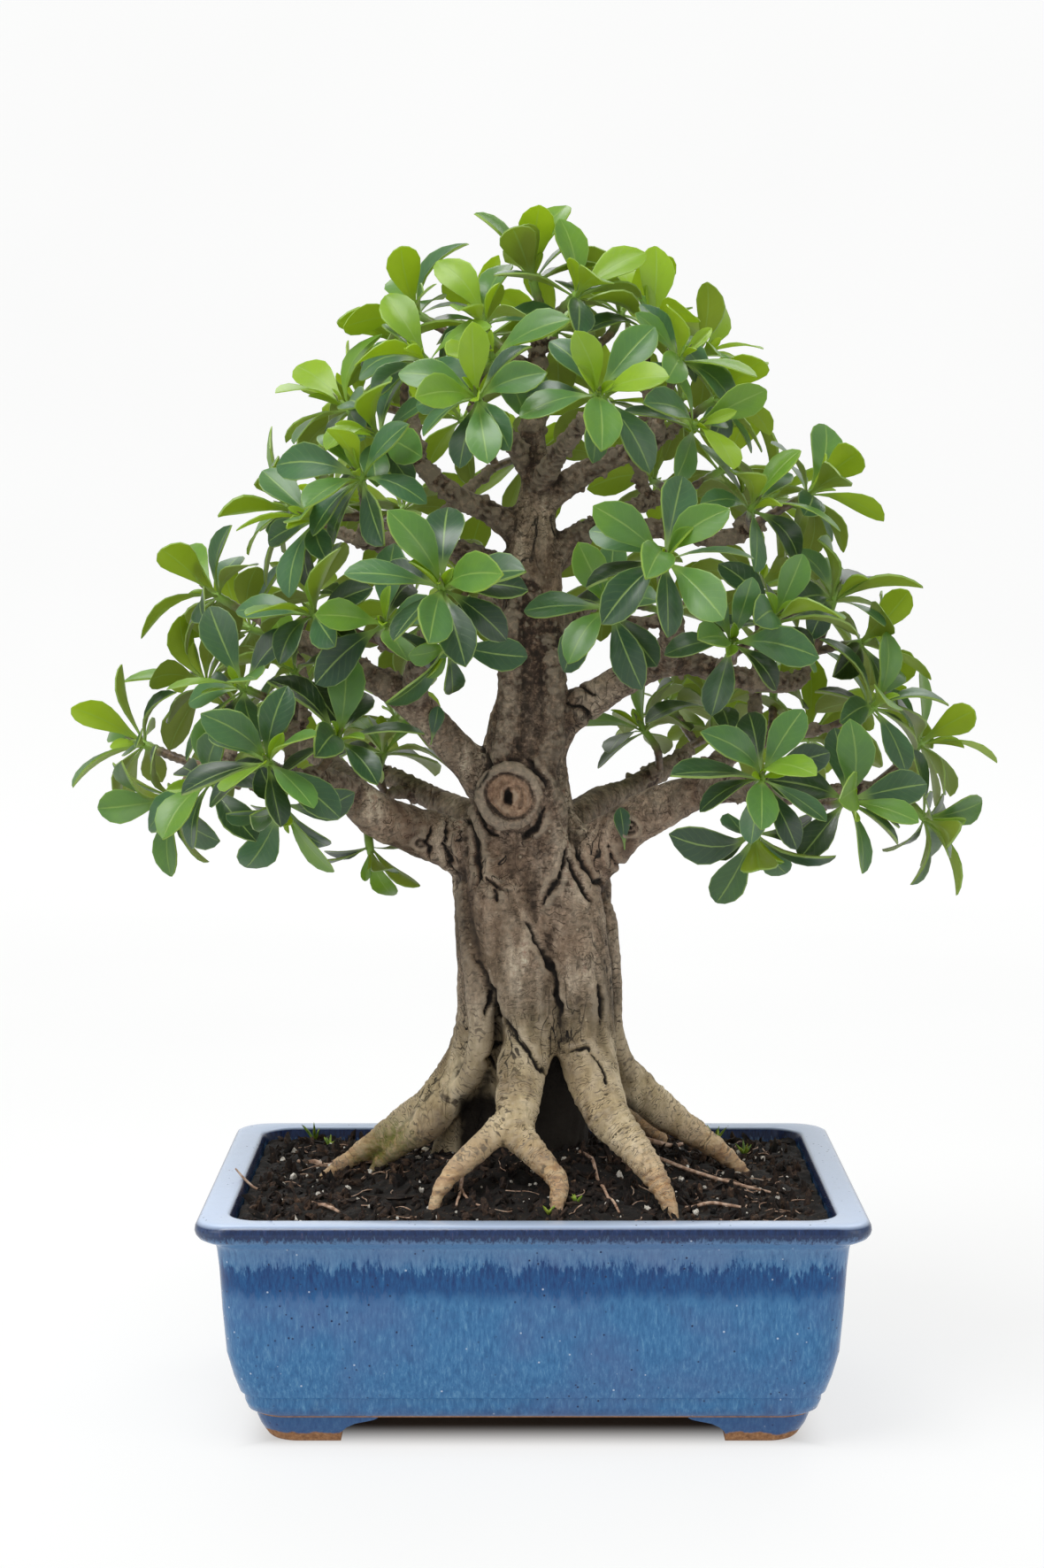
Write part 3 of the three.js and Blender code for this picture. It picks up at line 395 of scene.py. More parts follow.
# The paper gives off part of its light, but for the ground close under the pot, which keeps its shadow
matt_paper, place = start_material("matt_backdrop_paper")
spot = node("SeparateXYZ", {0: place}).outputs
tone = ramp(cloud(place, 400), (0.3, "#767776"), (0.7, "#7a7b7a"))
away = maths("MULTIPLY_ADD", spot["Y"], 2.0, spot["Z"])
lit_from_behind = spread(away, 1.6, 4.4, 0.72, 0.82, smooth=True)
from_pot = most(maths("ABSOLUTE", times(spot["X"], 0.8)), maths("ABSOLUTE", times(spot["Y"], 1.15)))
clear_of_pot = spread(from_pot, 0.058, 0.095, smooth=True)
glow = {"Emission Color": "#ffffff", "Emission Strength": times(lit_from_behind, clear_of_pot)}
end_material(principled(tone, **glow), Roughness=0.9)
dress(floor, matt_paper)
print("floor faces", len(floor.data.polygons))

# %% [markdown]
# ## The tree's skeleton
# The wood is a set of tapered limbs, each a short list of places with a thickness, in millimetres. They
# are the same limbs as in the solid model, so the fine bark lies where the plain wood is. A shoot is the
# place of a rosette's heart, the way it faces and how many leaves the solid one holds, with a size and a
# spread where they differ from 1.

# %% Limbs and shoots, in millimetres
TRUNK = [
    [2, 0, 74, 22], [2, 1, 104, 24], [2, 1, 140, 23.5], [1, 2, 170, 23.5], [0, 2, 200, 24],
    [-2, 1, 222, 23.5], [-4, 0, 240, 21], [-4, 0, 262, 17.5], [-1, 1, 282, 14.4], [0, 2, 300, 13.2],
    [0, 3, 318, 13], [0, 3, 336, 12], [0, 3, 354, 9.8], [2, 2, 370, 7.4], [0, 0, 388, 5.4],
    [0, 0, 406, 4.4], [2, 0, 424, 3.4], [2, -2, 438, 2.4],
]
STRANDS = [
    [[-17, -10, 226, 10], [-13, -17, 204, 12.5], [-5, -21, 176, 13.5], [0, -22, 156, 12],
     [-4, -28, 140, 10.5], [-6, -40, 126, 9], [-6, -47, 116, 7], [2, -53, 108, 5.4], [10, -59, 99, 4.3],
     [9, -64, 90, 3.4], [5, -68, 79, 2.2]],
    [[14, -6, 228, 9], [16, -15, 204, 12.5], [19, -19, 176, 13], [21, -20, 152, 12.5], [24, -30, 136, 11],
     [30, -41, 122, 9], [40, -49, 111, 7], [48, -57, 101, 5.2], [53, -63, 92, 4], [57, -70, 78, 2.4]],
    [[-25, 0, 216, 7], [-22, -7, 192, 9.6], [-21, -6, 164, 10.4], [-24, 0, 140, 11], [-37, 2, 122, 9],
     [-54, 5, 109, 7], [-70, 7, 98, 4.8], [-85, 4, 88, 3.2], [-93, 2, 78, 2]],
    [[25, 2, 214, 6], [23, 2, 184, 8.6], [25, 2, 156, 9.4], [31, 1, 138, 9.6], [44, 1, 124, 8.5],
     [60, 3, 111, 6.6], [75, 6, 100, 4.8], [87, 8, 89, 3.4], [95, 9, 78, 2.2]],
    [[-14, 14, 222, 9], [-16, 19, 186, 11.8], [-16, 24, 154, 11.6], [-21, 31, 134, 10.4],
     [-31, 43, 119, 8.4], [-43, 56, 104, 6], [-54, 66, 92, 4], [-62, 73, 78, 2.4]],
    [[10, 15, 222, 9], [12, 19, 186, 12.2], [13, 24, 154, 12], [19, 32, 136, 10.6], [29, 43, 121, 8.4],
     [41, 55, 106, 6.2], [54, 63, 93, 4], [64, 69, 78, 2.4]],
    [[0, 18, 160, 10], [-1, 36, 128, 9.4], [-5, 52, 109, 7], [-8, 64, 96, 5], [-10, 74, 87, 3.2],
     [-11, 79, 77, 2]],
]
ROOT_FORKS = [
    [[-28, -3, 130, 8], [-44, -5, 110, 6.5], [-56, 1, 100, 4.6], [-65, 6, 90, 3.2], [-71, 8, 79, 2]],
    [[-6, -42, 122, 7], [-14, -47, 117, 6], [-24, -52, 109, 4.8], [-33, -57, 101, 3.9], [-38, -61, 93, 3.2],
     [-40, -65, 79, 2.2]],
    [[34, 4, 132, 7], [50, 16, 113, 5.6], [64, 27, 101, 4], [78, 36, 90, 2.8], [86, 41, 78, 2]],
    [[-28, 40, 120, 6], [-46, 44, 106, 5], [-62, 48, 95, 3.6], [-74, 54, 79, 2.2]],
]
BRANCHES = [
    [[-8, 0, 212, 14], [-28, -5, 225, 11.5], [-48, -10, 233, 9.6], [-62, -14, 239, 9.2], [-74, -18, 249, 8],
     [-86, -20, 253, 4.8], [-108, -18, 254, 3.8], [-142, 3, 261, 2.5]],
    [[-72, -18, 249, 6], [-82, -38, 256, 4.6], [-92, -54, 259, 3.6], [-98, -64, 261, 2.6]],
    [[-70, -14, 247, 6], [-80, 8, 256, 4.6], [-92, 34, 262, 3.8], [-100, 54, 266, 2.6]],
    [[-10, 0, 242, 11], [-23, -3, 256, 8.4], [-36, -8, 271, 7.4], [-51, -13, 287, 7], [-68, -16, 297, 5.2],
     [-92, -14, 310, 3.8], [-114, -6, 320, 2.4]],
    [[-47, -12, 282, 5.6], [-47, -24, 294, 4.8], [-43, -44, 308, 4], [-38, -66, 318, 3.4],
     [-35, -80, 322, 2.6]],
    [[0, 2, 348, 7], [-17, 0, 361, 4.6], [-30, -4, 367, 4], [-44, -7, 379, 3.4], [-58, -8, 388, 2.6]],
    [[0, 3, 332, 7], [-29, 5, 346, 3.9], [-50, 3, 350, 3.3], [-68, 0, 349, 3], [-84, 2, 355, 2.4]],
    [[0, 0, 376, 5], [-8, -9, 389, 3.8], [-16, -22, 396, 3.2], [-22, -40, 400, 2.8], [-23, -54, 401, 2.2]],
    [[2, 2, 364, 7], [16, -3, 374, 5], [28, -8, 381, 4.6], [44, -10, 387, 3.8], [60, -8, 394, 2.8]],
    [[2, -2, 372, 5], [10, -20, 384, 3.6], [17, -38, 393, 3], [22, -52, 400, 2.3]],
    [[0, 2, 336, 8], [17, 4, 351, 4.6], [34, 6, 356, 4], [52, 4, 354, 3.5], [74, 1, 350, 3.1],
     [94, 0, 356, 2.5]],
    [[0, 0, 262, 12], [12, -4, 278, 8.4], [27, -10, 288, 7.4], [42, -15, 297, 6.6], [58, -18, 302, 5.4],
     [82, -14, 295, 4.4], [104, -9, 293, 3.7], [124, -4, 298, 2.6]],
    [[53, -17, 299, 5.4], [55, -34, 314, 4.8], [53, -54, 325, 4.2], [51, -76, 331, 3]],
    [[8, 0, 200, 14], [22, -5, 219, 11.5], [37, -10, 234, 10], [52, -16, 243, 9], [68, -21, 250, 7],
     [92, -23, 251, 5], [122, -17, 248, 4], [150, -5, 253, 2.6]],
    [[68, -22, 250, 6], [76, -42, 254, 4.8], [82, -58, 256, 3.8], [84, -72, 257, 2.8]],
    [[60, -16, 246, 6], [72, 6, 256, 4.8], [86, 34, 262, 3.8], [96, 58, 266, 2.6]],
    [[-6, 6, 220, 11], [-24, 28, 233, 7.6], [-42, 50, 240, 5.4], [-62, 72, 248, 3.8], [-78, 84, 255, 2.5]],
    [[8, 8, 226, 10], [24, 32, 238, 7], [42, 56, 244, 5], [62, 76, 254, 3.6], [78, 86, 263, 2.5]],
    [[0, 6, 288, 8], [0, 32, 306, 5.6], [-10, 58, 318, 4.2], [-20, 84, 324, 2.6]],
    [[-2, 36, 308, 5], [16, 58, 318, 4], [34, 82, 326, 2.6]],
    [[-2, 6, 322, 8], [-24, 24, 340, 5], [-46, 42, 352, 3.8], [-66, 56, 358, 2.5]],
    [[4, 6, 338, 7], [24, 24, 354, 4.6], [44, 42, 364, 3.6], [62, 54, 370, 2.4]],
    [[0, 2, 384, 4.6], [2, 22, 400, 3.4], [4, 42, 410, 2.2]],
]
SPRAYS = [
    [((0, -5, 452), (0, 0, 1), 6, 1.08, 0.6), ((17, -15, 446), (0.35, -0.25, 0.95), 5)],
    [((-19, -18, 435), (-0.3, -0.4, 0.9), 5), ((-46, 4, 440), (-0.65, 0, 0.75), 5)],
    [((-41, -32, 419), (-0.5, -0.45, 0.75), 5), ((-16, -46, 420), (-0.1, -0.75, 0.65), 4)],
    [((46, -6, 433), (0.5, -0.2, 0.8), 5), ((67, 14, 424), (0.8, 0.15, 0.5), 5)],
    [((57, -32, 420), (0.5, -0.5, 0.65), 5), ((62, -44, 394), (0.55, -0.75, 0.3), 4)],
    [((24, -72, 405), (0.15, -0.95, 0.4), 6)],
    [((-21, -74, 404), (-0.15, -0.85, 0.5), 6)],
    [((-74, 0, 402), (-0.7, -0.05, 0.75), 6), ((-60, -34, 390), (-0.6, -0.6, 0.5), 5)],
    [((73, 0, 406), (0.8, 0, 0.55), 6)],
    [((-66, -54, 374), (-0.4, -0.75, 0.5), 5), ((-85, -34, 358), (-0.75, -0.5, 0.35), 5)],
    [((-97, 10, 362), (-0.9, 0.05, 0.4), 6)],
    [((85, -38, 362), (0.45, -0.6, 0.65), 5), ((111, 2, 368), (0.85, 0, 0.5), 6)],
    [((49, -97, 343), (0, -0.88, 0.48), 7, 1.05)],
    [((-34, -102, 333), (-0.05, -0.88, 0.48), 7, 1.05), ((-32, -86, 312), (0.1, -0.6, -0.7), 3, 0.9)],
    [((-57, -64, 318), (-0.15, -0.85, 0.4), 4), ((-85, -50, 321), (-0.5, -0.6, 0.6), 5)],
    [((-127, 0, 327), (-0.85, 0, 0.5), 6)],
    [((-95, -14, 297), (-0.4, -0.4, 0.75), 4), ((-113, -42, 292), (-0.6, -0.65, 0.45), 5)],
    [((-135, 26, 290), (-0.75, 0.3, 0.55), 6)],
    [((-159, 12, 266), (-0.92, 0.1, 0.35), 6), ((-143, -22, 247), (-0.75, -0.4, -0.5), 5)],
    [((-101, -80, 266), (-0.1, -0.9, 0.4), 7), ((-97, -58, 249), (0, -0.5, -0.8), 4)],
    [((-76, -60, 273), (0.3, -0.7, 0.6), 4)],
    [((-63, 52, 259), (0.15, 0.15, 0.95), 4)],
    [((-126, -48, 256), (-0.5, -0.8, 0.1), 4)],
    [((-66, -8, 226), (0.1, -0.2, -0.95), 2, 0.85)],
    [((30, -58, 324), (-0.35, -0.75, 0.3), 5)],
    [((76, -66, 311), (0.15, -0.9, 0.3), 4), ((93, -52, 318), (0.4, -0.6, 0.65), 5)],
    [((120, -16, 326), (0.35, -0.25, 0.9), 5), ((133, 2, 308), (0.9, 0, 0.4), 5)],
    [((48, 58, 268), (-0.5, 0.1, 0.85), 5)],
    [((77, 40, 278), (0, 0.1, 0.95), 4)],
    [((135, -28, 284), (0.5, -0.45, 0.7), 5)],
    [((158, 6, 267), (0.85, 0.05, 0.5), 6), ((158, -12, 238), (0.85, -0.2, -0.4), 5)],
    [((86, -90, 261), (0, -0.9, 0.4), 7), ((85, -68, 238), (0.05, -0.5, -0.8), 4)],
    [((121, -62, 250), (0.35, -0.85, 0.2), 6)],
    [((-120, 62, 262), (-0.7, 0.55, 0.4), 5), ((-100, 84, 280), (-0.3, 0.6, 0.75), 4)],
    [((-88, 105, 258), (-0.4, 0.85, 0.3), 6), ((-60, 107, 270), (0.1, 0.8, 0.6), 3)],
    [((86, 105, 264), (0.4, 0.85, 0.3), 6), ((60, 107, 276), (-0.1, 0.8, 0.6), 3)],
    [((118, 68, 264), (0.7, 0.6, 0.35), 5), ((104, 78, 284), (0.3, 0.5, 0.8), 4)],
    [((140, 36, 280), (0.8, 0.4, 0.45), 5)],
    [((-118, 44, 312), (-0.7, 0.45, 0.55), 5), ((-94, 66, 322), (-0.35, 0.6, 0.7), 4)],
    [((-28, 107, 330), (-0.2, 0.9, 0.4), 6), ((-48, 96, 312), (-0.5, 0.8, 0.2), 4)],
    [((32, 107, 334), (0.2, 0.9, 0.4), 6), ((56, 96, 318), (0.5, 0.8, 0.2), 4)],
    [((96, 70, 328), (0.5, 0.6, 0.6), 5), ((118, 40, 322), (0.8, 0.35, 0.5), 4)],
    [((-84, 70, 364), (-0.55, 0.6, 0.55), 5), ((-56, 84, 362), (-0.25, 0.85, 0.45), 4)],
    [((80, 66, 378), (0.5, 0.6, 0.6), 5), ((52, 82, 374), (0.2, 0.85, 0.45), 4)],
    [((98, 34, 366), (0.75, 0.45, 0.5), 5)],
    [((-2, 84, 384), (0, 0.9, 0.4), 6), ((-30, 72, 400), (-0.3, 0.75, 0.6), 4)],
    [((-70, 40, 404), (-0.65, 0.5, 0.55), 5), ((-52, 20, 428), (-0.6, 0.2, 0.75), 5)],
    [((30, 66, 408), (0.25, 0.8, 0.55), 5), ((62, 46, 408), (0.6, 0.5, 0.6), 4)],
    [((-18, 40, 434), (-0.2, 0.55, 0.8), 5), ((10, 46, 436), (0.1, 0.65, 0.75), 4)],
    [((36, 26, 442), (0.45, 0.35, 0.8), 5)],
]

print("limbs", 1 + len(STRANDS) + len(ROOT_FORKS) + len(BRANCHES), "sprays", len(SPRAYS))

# %% Curves through the places
def curve_point(points, share):
    """A centripetal Catmull-Rom curve through points, at a share of its length in spans."""
    reach = (len(points) - 1) * share
    span = min(int(reach), len(points) - 2)
    weight = reach - span
    second, third = points[span], points[span + 1]
    first = points[span - 1] if span > 0 else 2 * points[0] - points[1]
    fourth = points[span + 2] if span + 2 < len(points) else 2 * points[-1] - points[-2]
    steps = [math.sqrt((b - a).length) for a, b in ((first, second), (second, third), (third, fourth))]
    before, here, after = steps
    leave = (second - first) / before - (third - first) / (before + here) + (third - second) / here
    arrive = (third - second) / here - (fourth - second) / (here + after) + (fourth - third) / after
    leave *= here
    arrive *= here
    cubic = 2 * second - 2 * third + leave + arrive
    square = -3 * second + 3 * third - 2 * leave - arrive
    return ((cubic * weight + square) * weight + leave) * weight + second


def limb_of(places):
    """The points of a limb in metres, and its radius at each."""
    return [at(*place[:3]) for place in places], [place[3] * MM for place in places]


def stations(points, radii, spacing=3 * MM):
    """Places along a limb: [point, radius, distance from its foot]."""
    rough = sum((b - a).length for a, b in zip(points, points[1:]))
    count = max(3, round(rough / spacing))
    made = []
    run = 0.0
    for step in range(count + 1):
        share = step / count
        point = curve_point(points, share)
        reach = share * (len(points) - 1)
        span = min(int(reach), len(points) - 2)
        radius = radii[span] + (radii[span + 1] - radii[span]) * (reach - span)
        if made:
            run += (point - made[-1][0]).length
        made.append((point, radius, run))
    return made

# %% Where each shoot springs from
SHOOT_STEM_LENGTH = 17 * MM
STEM_RADIUS = 1.9 * MM
TWIG_RADIUS = 2.3 * MM
TWIG_LENGTH = 14 * MM
TWIG_PULL = 2 * MM
FORKED_TWIG_PULL = 6 * MM
STEM_GAP = 0.3 * MM
LIMB_PLACES = 24
FIRST_PLACE = 4
FROM_ABOVE_COST = 0.6
LEADER_START = 11
STEM_BEND = 0.45
FORK_PLACE = 0.35


def plan_shoot(seed, heart, faces, leaves, size=1.0, wide=1.0):
    axis, heart = Vector(faces).normalized(), Vector(heart) * MM
    return {"seed": seed, "heart": heart, "axis": axis, "foot": heart - axis * SHOOT_STEM_LENGTH,
            "leaves": leaves, "size": size, "spread": wide}


def shortened(branch, middles):
    """A branch ends a twig's length short of the spray that it carries."""
    points, radii = limb_of(branch)
    carried = min(middles, key=lambda middle: (middle - points[-1]).length)
    kept = list(zip(points, radii))
    while len(kept) > 2 and (kept[-1][0] - carried).length < TWIG_LENGTH:
        last_point, last_radius = kept.pop()
        point, radius = kept[-1]
        if (point - carried).length > TWIG_LENGTH:
            share = min(((point - carried).length - TWIG_LENGTH) / (point - last_point).length, 1)
            kept.append((point.lerp(last_point, share), radius + (last_radius - radius) * share))
            break
    return [point for point, radius in kept], [radius for point, radius in kept]


seeds = iter(range(1, 1000))
shoot_groups = [[plan_shoot(next(seeds), *shoot) for shoot in spray] for spray in SPRAYS]
group_middles = [sum((shoot["foot"] for shoot in group), Vector()) / len(group) for group in shoot_groups]
branch_limbs = [shortened(branch, group_middles) for branch in BRANCHES]
carriers = [points for points, radii in branch_limbs] + [limb_of(TRUNK[LEADER_START:])[0]]
carrier_places = [curve_point(points, place / LIMB_PLACES)
                  for points in carriers for place in range(FIRST_PLACE, LIMB_PLACES + 1)]


def plan_spray(group, middle):
    """A spray's twig springs from the nearest wood, better from below than from above."""
    origin = min(carrier_places, key=lambda point: (point - middle).length
                 + max(0, point.z - middle.z) * FROM_ABOVE_COST)
    inward = origin - middle
    pull = min(FORKED_TWIG_PULL if len(group) > 1 else TWIG_PULL, inward.length * 0.4)
    return {"shoots": group, "origin": origin, "base": middle + inward.normalized() * pull}


plans = [plan_spray(group, middle) for group, middle in zip(shoot_groups, group_middles)]
print("shoots", sum(len(group) for group in shoot_groups), "twigs", len(plans))

# %% [markdown]
# ## Wood
# A ficus trunk is many roots and shoots that have grown together, so the bark has long soft swellings
# with deep creases between them, swollen collars with dark cracks where a branch leaves, and round scars
# where one was cut. Modelling each fold by hand would take days. Instead every limb is a tapered tube on
# a curve, all the tubes are fused into one skin by a voxel remesh, which rounds the joints as growth
# does, and the skin is then raised and sunk a little by measured noise: ribs along the limbs, wrinkles
# across them, cracks and scars. What each point needs for its colour is kept with it: how hollow it lies,
# for the painted shade in the folds and the painted light on the ridges, how thick its limb is, and how
# deep it lies in a crack or in the painted shade between the roots.

# %% Limbs as tubes
WOOD_VOXEL = 1.15 * MM
WOOD_TRIANGLES = 188000
SPUR_SPACING = 4.5 * MM
SPUR_LIMB_RADIUS = 6.5 * MM
SPUR_TURN = 2.4
SPUR_OUT, SPUR_ALONG = 1.8 * MM, 1.6
SPUR_OUTLINE = [(0, 1.9), (0.6, 1.6), (1, 0.9)]
SUNK_IN, SUNK_UP, SUNK_SLIM = 0.45, 14, 0.8
FOOT_BACK, FOOT_TOP, FOOT_FADE = 7, 150, 30
ROOT_END_TOP, ROOT_END_FADE, ROOT_END_SLIM = 88, 80, 0.8

FINE_STRANDS = [
    [[-25, -12, 212, 4.5], [-24.5, -15, 190, 5.6], [-22, -19, 170, 5.6], [-21, -20, 148, 5.2],
     [-27, -12, 130, 4.6], [-38, 1, 120, 4]],
    [[29, -6, 200, 4], [30.4, -9, 186, 5], [31.2, -9, 170, 5.4], [32, -9, 152, 5.2], [38, -6, 136, 4.6],
     [48, 1, 121, 4]],
    [[0, -17, 250, 6], [8, -19, 228, 7], [8, -21, 206, 6.4], [3, -20, 190, 5], [1, -10, 178, 4]],
    [[-19, -12, 246, 5], [-20, -14, 226, 6.4], [-17, -17, 206, 6.6], [-20, -15, 186, 5], [-10, -8, 176, 4]],
    [[8, -11, 300, 4], [9, -12, 276, 5.6], [4, -16, 256, 6], [9, -17, 238, 5.6], [4, -8, 226, 5]],
    [[-8, -9, 320, 3.6], [-9, -10, 298, 5], [-9, -13, 276, 5.4], [-12, -14, 262, 5], [-6, -6, 250, 5]],
]
INNER_ROOT = [[-14, 8, 136, 12], [-22, 9, 118, 12], [-30, 10, 100, 11], [-38, 11, 80, 9]]


def sunk_top(places):
    """A strand starts deeper and higher than its first place, so that its end is grown over."""
    x, y, z, radius = places[0]
    return [[x * SUNK_IN, y * SUNK_IN, z + SUNK_UP, radius * SUNK_SLIM]] + places


def set_back(places):
    """The trunk's own foot stands back a little, so that the space between the front roots is deep."""
    shares = [unit((FOOT_TOP - place[2]) / FOOT_FADE) for place in places]
    return [[x, y + FOOT_BACK * share, z, radius * (1 - 0.1 * share)]
            for (x, y, z, radius), share in zip(places, shares)]


def fine_ends(places):
    """A root thins out where it goes into the soil."""
    shares = [np.clip(ROOT_END_SLIM + (place[2] - ROOT_END_TOP) / ROOT_END_FADE, ROOT_END_SLIM, 1)
              for place in places]
    return [[x, y, z, radius * share] for (x, y, z, radius), share in zip(places, shares)]


def spurs(row):
    """Short stubs of fallen leaves and buds round a slim branch."""
    made = []
    due = SPUR_SPACING
    for (point, radius, run), (after, _, _) in zip(row[2:], row[3:]):
        if radius < SPUR_LIMB_RADIUS and run > due:
            due = run + SPUR_SPACING * (0.5 + draw(run * 9000 + point.x * 5000))
            way = (after - point).normalized()
            turn = run / MM * SPUR_TURN
            out = way.orthogonal().normalized()
            out = out * math.cos(turn) + way.cross(out) * math.sin(turn)
            tip = point + out * (radius + SPUR_OUT) + way * SPUR_ALONG * MM
            made.append([(point.lerp(tip, share), thick * MM, 0.0) for share, thick in SPUR_OUTLINE])
    return made


strand_limbs = [limb_of(sunk_top(fine_ends(places))) for places in STRANDS]
fork_limbs = [limb_of(fine_ends(places)) for places in ROOT_FORKS]
fine_limbs = [limb_of(sunk_top(places)) for places in FINE_STRANDS] + [limb_of(INNER_ROOT)]
twig_ends = [TWIG_RADIUS + 0.6 * MM, TWIG_RADIUS - 0.2 * MM]
twig_limbs = [([plan["origin"], plan["base"]], twig_ends) for plan in plans]
limbs = [limb_of(set_back(TRUNK))] + strand_limbs + fork_limbs + fine_limbs + branch_limbs + twig_limbs
limb_stations = [stations(points, radii) for points, radii in limbs]
spur_rows = [spur for limb in branch_limbs + twig_limbs for spur in spurs(stations(*limb, 1.5 * MM))]


def tubes(name, rows, sides=6):
    """Round tubes along rows of stations, as one mesh."""
    deselect_all()
    bpy.ops.curve.primitive_bezier_curve_add(location=(0, 0, 0))
    piece = named(name)
    curve = piece.data
    curve.splines.clear()
    curve.dimensions = "3D"
    curve.bevel_depth = 1.0
    curve.bevel_resolution = (sides - 4) // 2
    curve.use_fill_caps = True
    for row in rows:
        spline = curve.splines.new("POLY")
        spline.points.add(len(row) - 1)
        for spot, (point, radius, run) in zip(spline.points, row):
            spot.co = (*point, 1)
            spot.radius = radius
    bpy.ops.object.convert(target="MESH")
    return piece


wood = tubes("bark_and_wood", limb_stations + spur_rows, sides=14)
print("tubes", len(limb_stations), "spurs", len(spur_rows), "faces", len(wood.data.polygons))

# %% Old cuts: the large scar on the front of the trunk and the small ones
SCAR_MIDDLE = at(-9.4, -24, 248)
SCAR_RADIUS = 12.5 * MM
PLUG_DEPTH, PLUG_BACK = 22 * MM, 10.6 * MM
COLLAR_WITHIN, COLLAR_THICK, COLLAR_BACK = 1.9 * MM, 3.5 * MM, 1.4 * MM
SMALL_SCARS = [(1, -12.5, 357, 5), (39, -21, 235, 5.5), (-45, -20, 228, 5), (8.4, -33, 204, 4.5)]
FACING_FRONT = (math.pi / 2, 0, 0)

deselect_all()
bpy.ops.mesh.primitive_cylinder_add(vertices=40, radius=SCAR_RADIUS, depth=PLUG_DEPTH,
                                    location=SCAR_MIDDLE + Vector((0, PLUG_BACK, 0)), rotation=FACING_FRONT)
plug = settle(named("old_cut"))
deselect_all()
bpy.ops.mesh.primitive_torus_add(
    major_radius=SCAR_RADIUS - COLLAR_WITHIN, minor_radius=COLLAR_THICK, major_segments=48,
    minor_segments=12, location=SCAR_MIDDLE + Vector((0, COLLAR_BACK, 0)), rotation=FACING_FRONT)
collar = settle(named("old_cut_collar"))
wood = join([wood, plug, collar], "bark_and_wood")
apply_modifier(wood, "REMESH", mode="VOXEL", voxel_size=WOOD_VOXEL, use_smooth_shade=True)
apply_modifier(wood, "SMOOTH", factor=0.5, iterations=3)
print("fused wood", triangles(wood), "triangles")

# %% What lies under each point of the bark
NEAR_STATIONS, SMOOTH_ROUNDS = 5, 9

station_rows = [station for row in limb_stations for station in row]
station_rows += [station for row in spur_rows for station in row[1:]]
station_tree = KDTree(len(station_rows))
for index, (point, radius, run) in enumerate(station_rows):
    station_tree.insert(point, index)
station_tree.balance()


def along_limbs(points):
    """For each point of the bark, its limb's radius and how far along the limb it lies, in millimetres."""
    found = np.empty((len(points), 2))
    for row, point in enumerate(points):
        near = station_tree.find_n(Vector(point), NEAR_STATIONS)
        place, index, distance = min(near, key=lambda hit: abs(hit[2] - station_rows[hit[1]][1]))
        found[row] = station_rows[index][1] / MM, station_rows[index][2] / MM
    return found


def noise_at(points, stretch, offset):
    """Smooth noise between about -1 and 1, whose swellings are stretch millimetres long each way."""
    placed = points / (np.asarray(stretch) * MM) + offset
    return np.array([noise.noise(Vector(point)) for point in placed])


def neighbour_means(piece, points, rounds):
    """Each point moved again and again to the middle of its neighbours."""
    ends = np.empty(len(piece.data.edges) * 2, np.int32)
    piece.data.edges.foreach_get("vertices", ends)
    first, second = ends.reshape(-1, 2).T
    count = np.bincount(ends, minlength=len(points))[:, None]
    for _ in range(rounds):
        total = np.zeros_like(points)
        for axis in range(3):
            total[:, axis] = np.bincount(first, points[second, axis], len(points))
            total[:, axis] += np.bincount(second, points[first, axis], len(points))
        points = total / np.maximum(count, 1)
    return points


skin = points_of(wood)
limb_radius, limb_run = along_limbs(skin).T
stout = unit((limb_radius - 4) / 6)
skin += (neighbour_means(wood, skin, SMOOTH_ROUNDS) - skin) * stout[:, None]
move_points(wood, skin)
normals = points_of(wood, "normal")
print("limb radius under the bark, mm", limb_radius.min().round(1), limb_radius.max().round(1))

# %% Cracks and folds in the bark, drawn over the front as places across and up, in millimetres
CRACK_WIDTH, LEAST_WIDTH = 0.95, 0.15
CRACK_LIP = (2.4, 1.4)
CRACK_LINES = [
    [(13.6, 224.7), (18.6, 212.2), (26.0, 204.7)], [(16.7, 228.5), (21.0, 218.5), (28.5, 209.1)],
    [(13.6, 229.7), (11.1, 216.0), (2.4, 203.4)],
    [(-2.6, 199.7), (1.2, 190.9), (8.6, 175.8), (11.1, 162.0), (11.8, 155.6)],
    [(-22.4, 242.2), (-18.7, 234.5), (-13.0, 231.2)], [(-4.0, 231.0), (1.1, 234.7), (5.4, 244.7)],
    [(6.0, 250.0), (4.0, 254.6), (-2.6, 263.1)],
    [(-31.1, 244.7), (-27.4, 240.9), (-22.4, 229.7), (-21.2, 216.0), (-22.5, 209.7)],
    [(-21.2, 216.0), (-15.0, 212.2), (-11.3, 211.6)], [(-15.0, 212.2), (-13.8, 205.9)],
    [(-34.2, 238.4), (-36.1, 228.5), (-33.0, 218.5), (-31.2, 214.7)],
    [(-23.7, 184.6), (-16.3, 170.8), (-12.6, 159.4), (-5.1, 150.6), (2.4, 141.7), (6.2, 135.4)],
    [(-16.3, 170.8), (-20.0, 158.2)], [(26.7, 173.3), (28.0, 156.9)],
    [(-12.6, 148.1), (-17.6, 141.7), (-15.1, 134.2)],
    [(12.4, 145.5), (21.2, 148.1), (28.7, 140.5), (30.6, 134.2)],
    [(-40, 236), (-42.5, 229), (-41, 222)], [(30, 229), (33, 221), (38, 216)],
    [(13, 285), (22, 281), (27, 271), (25, 262)], [(16, 292), (26, 288)],
    [(-20, 268), (-17, 258), (-24, 250)],
]
